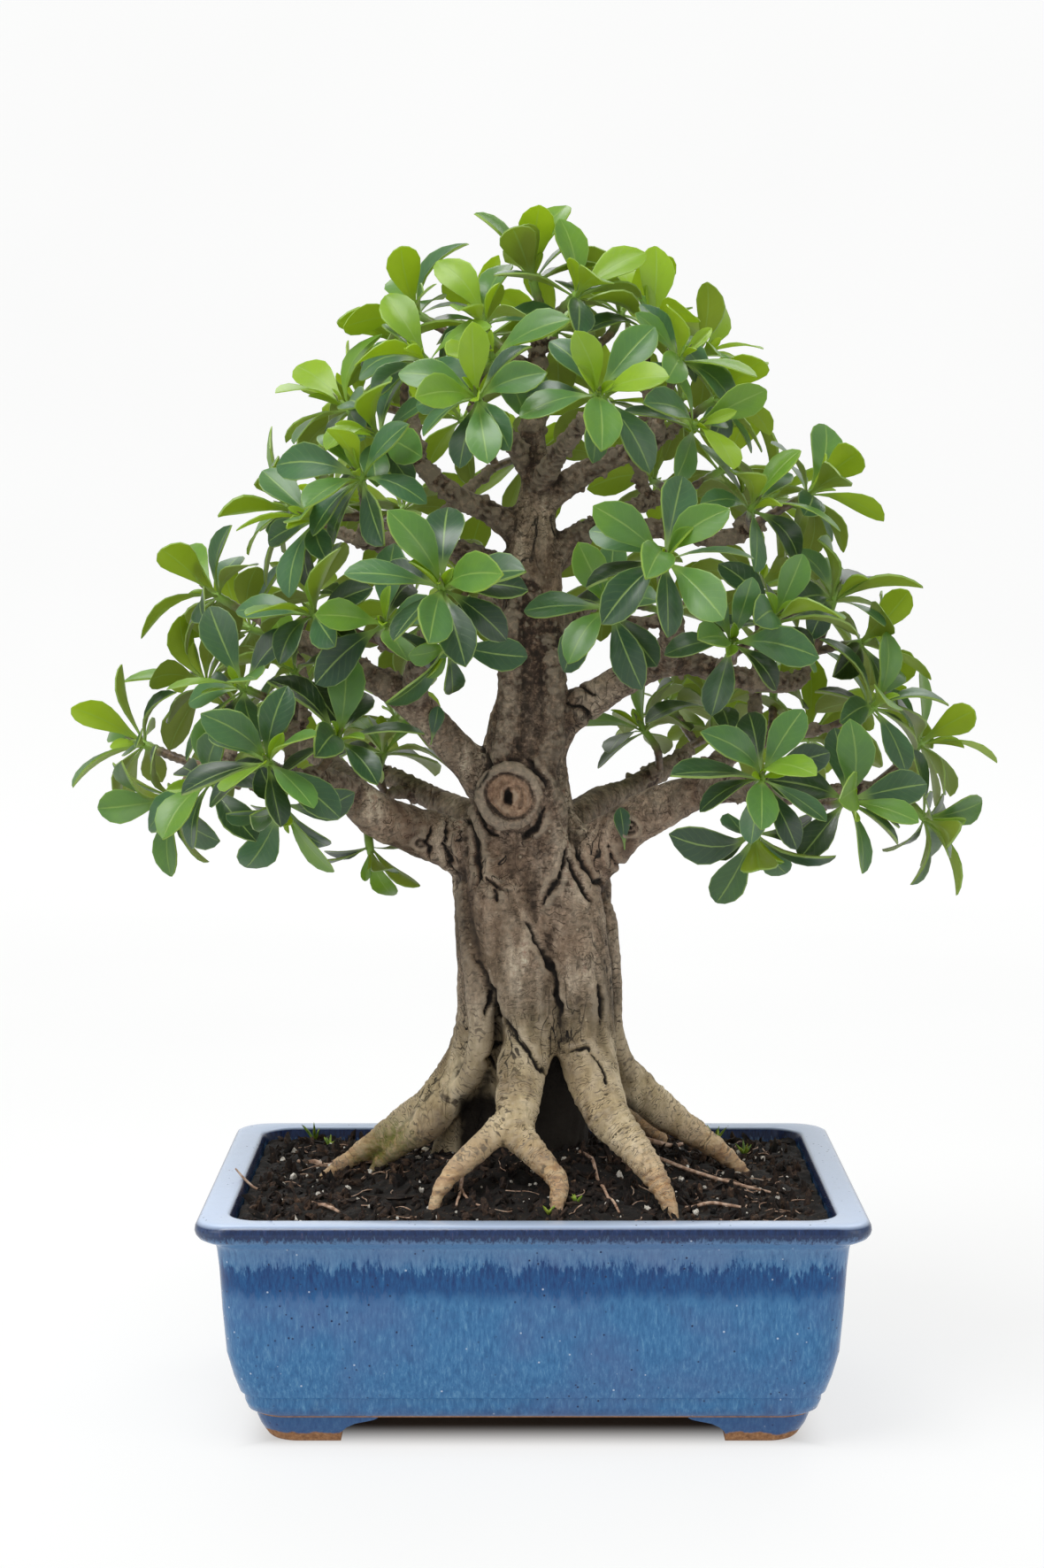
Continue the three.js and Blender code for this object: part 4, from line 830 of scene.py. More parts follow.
COLLARS = [
    (-20, -14, 230, 24), (20, -15, 222, 20), (-12, -12, 264, 16), (16, -14, 278, 20), (-6, -8, 336, 14),
    (48, -24, 292, 12), (10, -10, 350, 14), (-22, -14, 150, 16), (22, -18, 142, 14), (0, -20, 134, 12),
    (-60, -14, 240, 12), (0, 18, 240, 24),
]


def drawn_crack(across, up, line):
    """How far each place lies from a drawn line in millimetres, and how wide the crack is there."""
    least = np.full(len(across), 99.0)
    width = np.zeros(len(across))
    spans = len(line) - 1
    for span, ((x1, z1), (x2, z2)) in enumerate(zip(line, line[1:])):
        run_x, run_z = x2 - x1, z2 - z1
        share = unit(((across - x1) * run_x + (up - z1) * run_z) / (run_x ** 2 + run_z ** 2))
        away = np.hypot(across - x1 - share * run_x, up - z1 - share * run_z)
        nearer = away < least
        least = np.where(nearer, away, least)
        width = np.where(nearer, np.sin((span + share) / spans * math.pi) ** 0.6, width)
    return least, width


def bell(values, middle, width):
    """1 where a value is at the middle, fading to nothing on both sides."""
    return np.exp(-((values - middle) / width) ** 2)


def away_from(x, y, z):
    """How far each point of the bark lies from a place, in millimetres."""
    return np.linalg.norm(skin - np.array(at(x, y, z)), axis=1) / MM


waver_x = 1.5 * noise_at(skin, 6, 52.0) + 0.8 * noise_at(skin, 2, 57.0)
waver_z = 1.5 * noise_at(skin, 6, 93.0)
patchy = np.clip(0.75 + 0.7 * noise_at(skin, 7, 35.0), 0.3, 1.2)
in_front = (normals[:, 1] < 0.3) & (skin[:, 1] < 2 * MM)
crack, crack_lips, cracked_zone = np.zeros((3, len(skin)))
for line in CRACK_LINES:
    away, width = drawn_crack(skin[:, 0] / MM + waver_x, skin[:, 2] / MM + waver_z, line)
    width = CRACK_WIDTH * width * patchy + LEAST_WIDTH
    crack = np.maximum(crack, in_front * bell(away, 0, width) * unit(width * 1.7))
    crack_lips = np.maximum(crack_lips, in_front * width * bell(away, *CRACK_LIP))
for x, y, z, reach in COLLARS:
    cracked_zone = np.maximum(cracked_zone, unit(1.6 - 1.6 * away_from(x, y, z) / reach))
cracked_zone = np.maximum(cracked_zone, unit(noise_at(skin, (30, 30, 34), 31.0) * 3 - 0.3)) * stout
print("points in a drawn crack", int((crack > 0.4).sum()))

# %% Swellings, ribs, wrinkles, leaf scars and old cuts, all in millimetres
RING_SPACING, RING_HEIGHT, ROOT_RING_HEIGHT = 3.6, 0.42, 0.3
CRACK_DEPTH, LIP_HEIGHT = 2.2, 0.6
SCAR_EDGE, CUT_EDGE, SCAR_RING_SPACING = 13.5, 8.2, 2.1
SCAR_GROOVE, INNER_GROOVE, SMALL_GROOVE = (8.4, 0.75), (4.3, 0.6), (2.6, 0.7)
HOLE_DEPTH, HOLE_ACROSS, HOLE_UP = 4.2, 1.7, 3.1

up = skin[:, 2] / MM
slim = unit((7 - limb_radius) / 3)
high = unit((up - 190) / 30)
root = unit((12 - limb_radius) / 3) * unit((150 - up) / 25)
lumps = 0.7 * noise_at(skin, (10, 10, 13), 3.1) * (0.35 + 0.65 * stout)
ribs = 0.8 * noise_at(skin, (4.2, 4.2, 26), 7.7) * stout
wrinkles = 0.36 * noise_at(skin, (8, 8, 1.7), 1.3) * (0.3 + 0.7 * stout)
grain = 0.24 * noise_at(skin, (2.0, 2.0, 2.6), 5.9)
twist = 1.4 * noise_at(skin, 12, 61.0)
ring_height = RING_HEIGHT * slim * high + ROOT_RING_HEIGHT * root
rings = np.sin(limb_run * 2 * math.pi / RING_SPACING + twist) * ring_height
knobs = 1.7 * np.maximum(0, noise_at(skin, 2.1, 17.0)) * slim * high
flakes = 0.7 * np.maximum(0, noise_at(skin, 3.4, 27.0) - 0.1) * cracked_zone
raise_mm = (lumps + ribs + wrinkles + grain + rings + knobs + flakes
            - CRACK_DEPTH * crack + LIP_HEIGHT * crack_lips)
raise_mm *= np.clip((up - 80) / 14, 0.2, 1)

scar_x, _, scar_z = (skin - np.array(SCAR_MIDDLE)).T / MM
scar_away = np.hypot(scar_x * 0.95, scar_z) + 1.9 * noise_at(skin, 8, 71.0)
on_scar = (scar_away < SCAR_EDGE) & (skin[:, 1] < SCAR_MIDDLE.y + 6 * MM)
scar_hole = np.hypot((scar_x + 0.4) / HOLE_ACROSS, scar_z / HOLE_UP) + 0.35 * noise_at(skin, 1.8, 81.0)
scar_groove = bell(scar_away, *SCAR_GROOVE)
inner_groove = bell(scar_away, *INNER_GROOVE)
scar_depth = (0.2 * np.cos(scar_away * 2 * math.pi / SCAR_RING_SPACING) - 1.5 * scar_groove
              - 0.7 * inner_groove - HOLE_DEPTH * unit(1.25 - scar_hole) ** 0.5 + 0.5 * lumps + grain)
raise_mm = np.where(on_scar, scar_depth, raise_mm)
scar_mark = np.maximum(0.6 * scar_groove * patchy, 0.45 * inner_groove)
scar_mark = np.where(on_scar, np.maximum(scar_mark, unit(3 * (1.15 - scar_hole))), 0)
cut_wood = np.where(on_scar, unit((CUT_EDGE - scar_away) / 0.8), 0)
for x, y, z, reach in SMALL_SCARS:
    away = away_from(x, y, z)
    near = unit((reach - away) / 1.2)
    groove = bell(away, *SMALL_GROOVE)
    pit = unit(1.6 - away)
    raise_mm += near * (0.9 - 1.5 * groove - 1.4 * pit)
    scar_mark = np.maximum(scar_mark, near * np.maximum(0.8 * groove, pit))
skin = skin + normals * (raise_mm * MM)[:, None]
move_points(wood, skin)
print("bark raised by, mm", raise_mm.min().round(2), raise_mm.max().round(2))

# %% Marks for the colour
MOSS_PLACES = [(-58, -4, 100, 17), (-66, 2, 92, 12)]
# Gaps between the roots that get painted shade: middle across, half width, top and strength, in millimetres
SHADED_ROOT_GAPS = [(11, 14, 152, 1.0), (-22, 11, 130, 0.85), (37, 8, 128, 0.6)]
HOLLOW_ROUNDS = 10
HOLLOW_FULL = 1.1

# How hollow each point lies, for the bark's painted shade in folds and painted light on ridges
smooth = neighbour_means(wood, skin, HOLLOW_ROUNDS)
hollow = np.einsum("ij,ij->i", smooth - skin, points_of(wood, "normal")) / MM
across, deep_in, up = skin.T / MM
# Painted shade: the trunk's foot and the sides of the roots deep between the front roots are painted nearly
# black
painted_shade_between_roots = unit((limb_radius - 14) / 3) * unit((158 - up) / 18)
shade_zone_behind_roots = unit((deep_in + 24 + (150 - up) * 0.3) / 5) * (deep_in < 6)
for middle, half, top, strength in SHADED_ROOT_GAPS:
    gap = unit((half - np.abs(across - middle)) / 4) * unit((top - up) / 9)
    painted_shade_between_roots = np.maximum(painted_shade_between_roots, strength * gap * shade_zone_behind_roots)
moss = np.zeros(len(skin))
for x, y, z, reach in MOSS_PLACES:
    moss = np.maximum(moss, unit(2 - 2 * away_from(x, y, z) / reach))
# The crack mark carries the dark cracks and scar marks, and the painted shade between the roots
dark = unit(np.maximum(np.maximum(crack * 1.15, scar_mark), painted_shade_between_roots))
for name, values in (("hollow", np.clip(hollow / HOLLOW_FULL, -1, 1)), ("crack", dark), ("moss", moss),
                     ("limb_run", limb_run), ("cracked_zone", cracked_zone), ("cut_wood", cut_wood),
                     ("limb_radius", limb_radius)):
    mark(wood, name, values)
apply_modifier(wood, "DECIMATE", ratio=WOOD_TRIANGLES / triangles(wood))
take(wood)
bpy.ops.object.shade_smooth()
print("wood", triangles(wood), "triangles")

# %% [markdown]
# ### Bark
# Ficus bark is thin and matt: grey brown on the trunk, greyer and greener near the soil, tan on the roots
# that end in the soil, and dark brown on the young twigs. Fine cracks run over it where branches join,
# and small dark pores and pale scales sit all over it. Painted shade darkens the deep folds and the space
# between the front roots nearly to black, and painted light brightens the ridges and the foot of the trunk
# and roots. The colour reads the marks above and noise at the real sizes, and the roughness stays high, so
# that the bark never shines.

# %% Bark material
bark, place = start_material("ficus_bark")
height = height_of(place)
drawn_out = stretched(place, (1, 1, 0.35))
pressed = stretched(place, (1, 1, 3.2))
broad = cloud(drawn_out, 15, Detail=6.0, Roughness=0.66)
fine = cloud(place, 2, Detail=7.0, Roughness=0.75)
base = ramp(broad, (0.32, "#493a2f"), (0.44, "#766250"), (0.54, "#a08b77"), (0.66, "#d2c0aa"))
fine_tone = ramp(fine, (0.34, "#3c3c3c"), (0.64, "#e6e6e6"))
speckled = mixed(0.85, base, fine_tone, blend_type="OVERLAY")
blush = spread(cloud(place, 38, Detail=2.0), 0.48, 0.7, 0, 0.3)
green = times(spread(height, 0.225, 0.15, 0, 0.8), cloud(drawn_out, 26, Detail=4.0))
# Painted light: the foot of the trunk and the roots are painted paler, as light falls on them from above
painted_base_light = spread(height, 0.165, 0.13, 0, 0.8)
painted_base_light_tone = ramp(broad, (0.34, "#8e7857"), (0.48, "#ccb78e"), (0.6, "#f0ddb6"), (0.7, "#fbeccb"))

# Twigs, the ends of the roots, and the rings across both
thickness = attribute("limb_radius")
slim_share = spread(thickness, 8.5, 4.2)
twig = times(slim_share, spread(height, 0.19, 0.23))
twig_tone = ramp(fine, (0.36, "#1d130e"), (0.5, "#433126"), (0.64, "#8a715d"))
root_end = times(slim_share, spread(height, 0.125, 0.1))
root_rings = cloud(pressed, 7, Detail=4.0, Roughness=0.7)
root_tone = ramp(root_rings, (0.36, "#94653c"), (0.48, "#c89a66"), (0.62, "#e8c796"))
ring_run = maths("MULTIPLY_ADD", cloud(place, 9, Detail=3.0), 7.0, attribute("limb_run"))
ring_line = spread(maths("PINGPONG", ring_run, 1.35), 0.5, 0.15, smooth=True)
ring_patch = spread(cloud(place, 5, Detail=2.0), 0.4, 0.52, 0, 0.8)
ring = times(times(ring_line, ring_patch), spread(thickness, 15.0, 12.0, 0.3, 1))

# Pores, scales, the wood of the old cut, painted shade in the hollows, moss, painted light on the ridges,
# and cracks, with the painted shade between the front roots
pore = spread(cells(pressed, 5.5), 0.19, 0.1, 0, 0.7)
scale = spread(cells(place, 7.5), 0.09, 0.05, 0, 0.45)
cut = times(attribute("cut_wood"), 0.7)
cut_tone = ramp(fine, (0.36, "#7d5c46"), (0.6, "#b08e72"))
hollow_mark = attribute("hollow")
# Painted shade in the hollows and folds of the bark
shade = spread(hollow_mark, 0.05, 0.6, 0, 0.85)
moss_share = times(attribute("moss"), spread(fine, 0.36, 0.56, 0, 0.75))
# Painted light on the raised ridges of the bark
painted_ridge_light = spread(hollow_mark, -0.1, -0.6, 0, 0.35)
splits = maths("SUBTRACT", cloud(drawn_out, 7.5, Detail=2.5, Distortion=0.8), 0.5)
split_line = spread(maths("ABSOLUTE", splits), 0.02, 0.005, smooth=True)
split = times(split_line, attribute("cracked_zone"))
# Nearly black for splits, cracks and scar marks, and for the painted shade between the roots
cracks_and_painted_shade = most(split, spread(attribute("crack"), 0.25, 0.85, 0, 0.98))

colour = layered(
    speckled, (blush, "#9c7a64"), (green, "#746c52"), (painted_base_light, painted_base_light_tone), (twig, twig_tone),
    (root_end, root_tone), (ring, "#33251b"), (pore, "#3a2b20"), (scale, "#cbbba1"), (cut, cut_tone),
    (shade, "#271d15"), (moss_share, "#74802f"), (painted_ridge_light, "#cdbda6"), (cracks_and_painted_shade, "#150d07"))
bark_shader = principled(colour, Roughness=spread(fine, 0, 1, 0.68, 0.92))
end_material(bark_shader, raised(maths("MULTIPLY_ADD", split, -1.2, fine), 0.9, 1.1), IOR=1.45)
dress(wood, bark)
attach(wood, "root")
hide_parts("trunk_roots_branches")
print("bark nodes", len(tree.nodes))

# %% [markdown]
# ## Leaves
# A ficus leaf is a stiff, waxy, egg-shaped blade on a short stalk, a little folded along its midrib and
# arched back, with a blunt point. One leaf is modelled flat from a small grid: its columns are lifted to
# fold it, its rows are drawn in to give the outline, and a Solidify modifier gives it thickness. Every
# leaf on the tree is a copy of it, bent and laid where the solid model has a leaf.

# %% The leaf, modelled once
LEAF_LENGTH = 34 * MM
LEAF_WIDTH = 14.8 * MM
LEAF_ROWS = [(0.0, 0.085), (0.14, 0.1), (0.28, 0.29), (0.43, 0.62), (0.58, 0.89), (0.72, 1.0), (0.85, 0.84),
             (0.95, 0.47), (1.0, 0.07)]
FOLD_LIFTS = [(0.0, 0.0), (0.25, 0.055), (0.5, 0.085)]
UPPER_POINTS = 5 * len(LEAF_ROWS)
LEAF_SPANS = len(LEAF_ROWS) - 1


def select_row(row):
    select_where(leaf, "vertices", lambda middle, vertex: abs(middle.y - row / LEAF_SPANS) < PICK_WITHIN)


deselect_all()
bpy.ops.mesh.primitive_grid_add(x_subdivisions=4, y_subdivisions=LEAF_SPANS, size=1, location=(0, 0.5, 0))
leaf = settle(named("ficus_leaf"))
edit(leaf)
for column, lift in FOLD_LIFTS:
    select_where(leaf, "vertices", lambda middle, vertex: abs(abs(middle.x) - column) < PICK_WITHIN)
    bpy.ops.transform.translate(value=(0, 0, lift))
for row, (place, width) in enumerate(LEAF_ROWS):
    select_row(row)
    bpy.ops.transform.resize(value=(width, 1, width), center_override=(0, row / LEAF_SPANS, 0))
for row, (place, width) in reversed(list(enumerate(LEAF_ROWS))):
    select_row(row)
    bpy.ops.transform.translate(value=(0, place - row / LEAF_SPANS, 0))
leave_edit()
apply_modifier(leaf, "SOLIDIFY", thickness=0.03, offset=-1)
smooth_below(leaf, 50)
leaf_shape = points_of(leaf)
leaf_faces = [tuple(face.vertices) for face in leaf.data.polygons]
mark(leaf, "underside", np.arange(len(leaf_shape)) >= UPPER_POINTS)
print("leaf faces", len(leaf_faces))

# %% How a leaf stands
GOLDEN_ANGLE = math.radians(137.5)
YOUNG_LEAF_OPEN = math.radians(25)
OLD_LEAF_OPEN = math.radians(85)
OPEN_WOBBLE = math.radians(12)
LEAF_ROLL = math.radians(84)
OLD_LEAF_DROOP = 0.12
FACE_LIGHT = 0.35
TIP_MATCH = 0.05 * MM
TRIES = list(product((1, 0.88, 0.74), (0, 0.25, -0.25, 0.5), (0, 0.35, -0.35)))


def opened_from(axis, first, turn, opened):
    """A way that leans out from an axis, turned round it from first, and the side it leans to."""
    out = first * math.cos(turn) + axis.cross(first) * math.sin(turn)
    return axis * math.cos(opened) + out * math.sin(opened), out


def square_to(along, face):
    return (face - along * face.dot(along)).normalized()


def leaf_stance(shoot, index, tries):
    """Where a leaf of a rosette points, which way it faces, its size and its arch."""
    size_share, open_more, turn_more = tries
    axis, seed = shoot["axis"], shoot["seed"]
    reference = Vector((0, -1, 0)) if abs(axis.z) > 0.8 else Vector((0, 0, 1))
    age = (index + 0.6) / shoot["leaves"]
    wobble = draw(seed * 31 + index * 7) - 0.5
    turn = index * GOLDEN_ANGLE + seed * 1.7 + wobble * 0.5 + turn_more
    opened = YOUNG_LEAF_OPEN + (OLD_LEAF_OPEN - YOUNG_LEAF_OPEN) * age + wobble * OPEN_WOBBLE
    opened = opened * shoot["spread"] + open_more
    along, out = opened_from(axis, reference.cross(axis).normalized(), turn, opened)
    along.z -= OLD_LEAF_DROOP * age
    along.normalize()
    face = square_to(along, axis + Vector((0, 0, FACE_LIGHT)))
    size = shoot["size"] * (0.86 + 0.2 * draw(seed * 17 + index * 3)) * size_share
    return {"root": shoot["heart"], "along": along, "face": face, "size": size, "age": age,
            "arch": 0.07 + 0.12 * draw(seed * 5 + index), "draw": draw(seed * 7.3 + index * 2.9),
            "hump": 0.1 + 0.55 * draw(seed * 3.1 + index * 5.7) ** 1.3}


def bent_leaf(stance):
    """The leaf's points, laid and bent as the stance says."""
    roll = Quaternion(stance["along"], LEAF_ROLL * (draw(stance["draw"] * 977) - 0.5))
    along, face = np.array(stance["along"]), np.array(roll @ stance["face"])
    length = LEAF_LENGTH * stance["size"]
    width = LEAF_WIDTH * stance["size"] * stance.get("narrow", 1)
    across, forward, lift = leaf_shape.T
    ripple = 0.03 * np.sin(forward * 9 + stance["draw"] * 6) * np.abs(across) * (0.4 + stance["draw"])
    fold = lift * (0.5 + 1.9 * stance["draw"]) * stance.get("fold", 1) + ripple
    return (np.array(stance["root"]) + np.outer(forward * length, along)
            - np.outer(stance["arch"] * length * forward ** 2, np.array(stance["face"]))
            + np.outer(stance["hump"] * length * forward * (1 - forward), np.array(stance["face"]))
            + np.outer(across * width, np.cross(along, face)) + np.outer(fold * width, face))


def found_stance(tips, shoot, index):
    """The stance whose tip is a point of the solid shoot, or nothing."""
    for tries in TRIES:
        stance = leaf_stance(shoot, index, tries)
        reach = (stance["along"] - stance["face"] * stance["arch"]) * (LEAF_LENGTH * stance["size"])
        if tips.find(stance["root"] + reach)[2] < TIP_MATCH:
            return stance


leaf_plans = []
for number, plan in enumerate(plans, 1):
    solid = bpy.data.objects[f"leafy_shoot_{number:02d}"].data.vertices
    tips = KDTree(len(solid))
    for vertex in solid:
        tips.insert(vertex.co, vertex.index)
    tips.balance()
    solid_leaves = [(shoot, index) for shoot in plan["shoots"] for index in range(shoot["leaves"])]
    leaf_plans.append(list(filter(None, (found_stance(tips, *solid_leaf) for solid_leaf in solid_leaves))))
print("leaves of the solid model found", sum(map(len, leaf_plans)))

# %% More leaves where there is room, and the young ones at each heart
EXTRA_LEAVES = 4
EXTRA_BACK = 2.5
EXTRA_TRIES = list(product((0.85, 0.66), (0.1, -0.3, 0.4), (0, 0.6, -0.6, 1.2)))
YOUNG_SIZES = [0.22, 0.36, 0.54]
YOUNG_OPEN, YOUNG_STEP = 6, 11
PETIOLE_END, BLADE_FROM = 0.3, 0.2
BARK_LEAVES = [(-41, 268, (0.2, -0.25, 0.95), 0.5), (37, 226, (-0.1, -0.25, 0.95), 0.54)]


def trial_leaf(stance):
    points = bent_leaf(stance)
    inner = points[leaf_shape[:, 1] > BLADE_FROM]
    return {"tree": BVHTree.FromPolygons([tuple(point) for point in points], leaf_faces),
            "low": inner.min(axis=0), "high": inner.max(axis=0)}


def beyond_petiole(face):
    return max(leaf_shape[index][1] for index in leaf_faces[face]) > PETIOLE_END


def leaves_cross(one, other):
    if (one["low"] > other["high"]).any() or (other["low"] > one["high"]).any():
        return False
    return any(beyond_petiole(first) and beyond_petiole(second)
               for first, second in one["tree"].overlap(other["tree"]))


def young_stance(shoot, index, size):
    """A small, folded leaf that stands up at a rosette's heart."""
    axis = shoot["axis"]
    turn = index * GOLDEN_ANGLE + shoot["seed"] * 2.3
    opened = math.radians(YOUNG_OPEN + YOUNG_STEP * index)
    along, out = opened_from(axis, axis.orthogonal().normalized(), turn, opened)
    along.normalize()
    stance = leaf_stance(shoot, 0, (1, 0, 0))
    return dict(stance, along=along, face=square_to(along, axis * 0.4 - out), size=size * shoot["size"],
                arch=0.12, age=-0.35 + 0.1 * index, narrow=0.66, fold=2.6, hump=0.1)


wood_tree = BVHTree.FromObject(wood, bpy.context.evaluated_depsgraph_get())
placed = [trial_leaf(stance) for stances in leaf_plans for stance in stances]
found_count = len(placed)
for plan, stances in zip(plans, leaf_plans):
    for shoot in plan["shoots"]:
        for extra in range(EXTRA_LEAVES):
            for tries in EXTRA_TRIES:
                stance = leaf_stance(shoot, shoot["leaves"] + extra - EXTRA_BACK, tries)
                trial = trial_leaf(stance)
                if not (any(leaves_cross(trial, other) for other in placed)
                        or trial["tree"].overlap(wood_tree)):
                    placed.append(trial)
                    stances.append(stance)
                    break
        stances += [young_stance(shoot, index, size) for index, size in enumerate(YOUNG_SIZES)]

for across, up, along, size in BARK_LEAVES:
    hit = wood_tree.ray_cast(Vector((across * MM, -0.2, up * MM)), Vector((0, 1, 0)))[0]
    near = min(range(len(plans)), key=lambda number: (plans[number]["base"] - hit).length)
    leaf_plans[near].append({"root": hit - Vector((0, MM, 0)), "along": Vector(along).normalized(),
                             "face": Vector((0.1, -0.95, 0.2)), "size": size, "age": 0.7, "arch": 0.1,
                             "draw": 0.3, "hump": 0.4})
print("extra leaves", len(placed) - found_count, "leaves in all", sum(map(len, leaf_plans)))

# %% Sprays: leaves, buds and stems joined, one piece for each node
STEM_SPACING = 1.6 * MM
BUD_LENGTH = 9.5
BUD_OUTLINE = [(0, 1.7), (0.3, 1.5), (0.65, 0.85), (0.9, 0.3), (1, 0.08)]
SCAR_SPACING = 3.2 * MM
STEM_SUNK, STEM_TOP = 1.5, 1.2
STEM_WIDE = 1.75 * MM
HIGH_FROM, HIGH_SPAN = 0.28, 0.14
OUTER_FROM, OUTER_SPAN = 0.1, 0.06


def lay_leaf(stance):
    """A copy of the leaf in its place. Leaves high up or far out get a lower age mark, so a brighter green
    that lets more light through.
    """
    piece = copy_of(leaf)
    move_points(piece, bent_leaf(stance))
    heart = stance["root"]
    high = unit((heart.z - HIGH_FROM) / HIGH_SPAN)
    outer = unit((math.hypot(heart.x, heart.y) - OUTER_FROM) / OUTER_SPAN)
    mark(piece, "age", stance["age"] - max(0.52 * high, 0.3 * outer))
    mark(piece, "tint", stance["draw"])
    return piece


def knobbly(rows):
    """A stem's stations with the ring of an old leaf scar every few millimetres."""
    return [(point, STEM_WIDE * (1 + 0.22 * max(0, math.sin(run * 2 * math.pi / SCAR_SPACING)) ** 2), run)
            for point, radius, run in rows]


def stem_rows(plan):
    towards = (plan["base"] - plan["origin"]).normalized()
    first = None
    rows = []
    for shoot in plan["shoots"]:
        heart, axis = shoot["heart"], shoot["axis"]
        start = first or plan["base"]
        middle = start.lerp(heart, STEM_BEND) + towards * (0 if first else STEM_RADIUS)
        way = (middle - start).normalized()
        lift = 0 if first else STEM_GAP + STEM_RADIUS * way.cross(towards).length
        stem = [start - towards * STEM_SUNK * MM, middle, heart + axis * STEM_TOP * MM]
        rows.append(knobbly(stations(stem, [STEM_WIDE] * 3, STEM_SPACING)))
        bud_tip = heart + axis * BUD_LENGTH * MM * shoot["size"]
        rows.append([(heart.lerp(bud_tip, share), radius * MM, 0.0) for share, radius in BUD_OUTLINE])
        first = first or (start + towards * lift).lerp(middle, FORK_PLACE)
    return rows


sprays = []
for number, (plan, stances) in enumerate(zip(plans, leaf_plans), 1):
    stems = tubes(f"stems_{number:02d}", stem_rows(plan))
    hearts = np.array([list(shoot["heart"]) for shoot in plan["shoots"]])
    away = np.min(np.linalg.norm(points_of(stems)[:, None] - hearts[None], axis=2), axis=1) / MM
    mark(stems, "age", 2 + unit(away / 12))
    mark(stems, "tint", 0.5)
    mark(stems, "underside", 0)
    bpy.ops.object.shade_smooth()
    sprays.append(join([lay_leaf(stance) for stance in stances] + [stems], f"spray_{number:02d}"))
bpy.data.objects.remove(leaf)
print("sprays", len(sprays), "triangles", sum(triangles(spray) for spray in sprays))

# %% [markdown]
# ### The look of a leaf
# An old leaf is dark, cool green and waxy above, paler and dull below; a young one is thin and lime, so
# that light shines through it. The blade is a glossy shader mixed with a translucent one. The age that
# each leaf carries picks its green. The midrib, the side veins and the pale edge are drawn from the
# leaf's own map, where one way is across the blade and the other along it. A stem carries an age above 2,
# which turns it green at the rosette and brown further down.

# %% Leaf material
leaf_blade, place = start_material("ficus_leaf_blade")
flat = node("SeparateXYZ", {0: place.node.outputs["UV"]}).outputs
age = attribute("age")
below = attribute("underside")
mottle = cloud(place, 15, Detail=4.0, Roughness=0.6)
own_shift = spread(attribute("tint"), 0, 1, -0.27, 0.27)
shifts = maths("ADD", spread(mottle, 0.25, 0.75, -0.14, 0.14), own_shift)
ripe = spread(maths("ADD", age, shifts), -0.5, 1.3)
upper_green = ramp(ripe, (0.0, "#9ebf36"), (0.15, "#79a43a"), (0.3, "#5f904c"), (0.46, "#467252"),
                   (0.66, "#284a3a"), (0.9, "#12291d"))
lower_green = ramp(ripe, (0.0, "#b9cf3c"), (0.35, "#a0b23a"), (0.9, "#8a9a40"))

# The midrib, the side veins, the petiole and the pale edge
from_rib = maths("ABSOLUTE", maths("SUBTRACT", flat["X"], 0.5))
rib = spread(from_rib, 0.036, 0.012, 0, 0.6, smooth=True)
slant = maths("MULTIPLY_ADD", from_rib, -0.42, flat["Y"])
vein = spread(maths("PINGPONG", slant, 0.045), 0.006, 0.0, 0, 0.17, smooth=True)
petiole = spread(flat["Y"], 0.3, 0.18, 0, 0.7)
edge_line = spread(from_rib, 0.465, 0.495, 0, 0.6)
all_lines = most(most(most(rib, petiole), vein), edge_line)

brown = ramp(cloud(place, 2.4, Detail=4.0), (0.35, "#3a2b20"), (0.65, "#77604a"))
stem_colour = mixed(spread(age, 2.2, 2.9), "#7fa53c", brown)
on_stem = maths("GREATER_THAN", age, 1.9)
blade_colour = layered(upper_green, (below, lower_green), (all_lines, "#a9c86c"), (on_stem, stem_colour))

gloss = spread(mottle, 0, 1, 0.22, 0.42)
roughness = node("Mix", {0: most(below, on_stem), 2: gloss, 3: 0.62}, data_type="FLOAT").outputs[0]
pucker = maths("MULTIPLY_ADD", mottle, 0.8, times(all_lines, -1.0))
blade = principled(blade_colour, Roughness=roughness, Normal=raised(pucker, 0.35, 0.5), IOR=1.46,
                   **{"Coat Weight": 0.5, "Coat Roughness": 0.3})
glow = ramp(ripe, (0.0, "#cbe024"), (0.4, "#b6cc22"), (0.9, "#9cb022"))
through = node("BsdfTranslucent", {"Color": glow})
thin = times(spread(age, 1.2, -0.4, 0.26, 0.56), maths("SUBTRACT", 1.0, on_stem))
end_material(node("MixShader", {0: thin, 1: blade.outputs[0], 2: through.outputs[0]}))

for number, spray in enumerate(sprays, 1):
    dress(spray, leaf_blade)
    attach(spray, "root")
    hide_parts(f"leafy_shoot_{number:02d}")
print("leaf nodes", len(tree.nodes))

# %% [markdown]
# ## Pot
# A bonsai pot like this one is pressed from stoneware clay in a mould, glazed and fired standing on its
# feet. It is drawn up from a flat sheet one level at a time, as a body with a ledge near the foot, a
# moulding under the lip and a rounded lip, and then down again along the inner wall to the floor. The
# corners are still sharp then, and one bevel along each of them rounds the whole pot. The feet are a
# second, lower body, hollowed and cut with stepped gaps, and joined on.

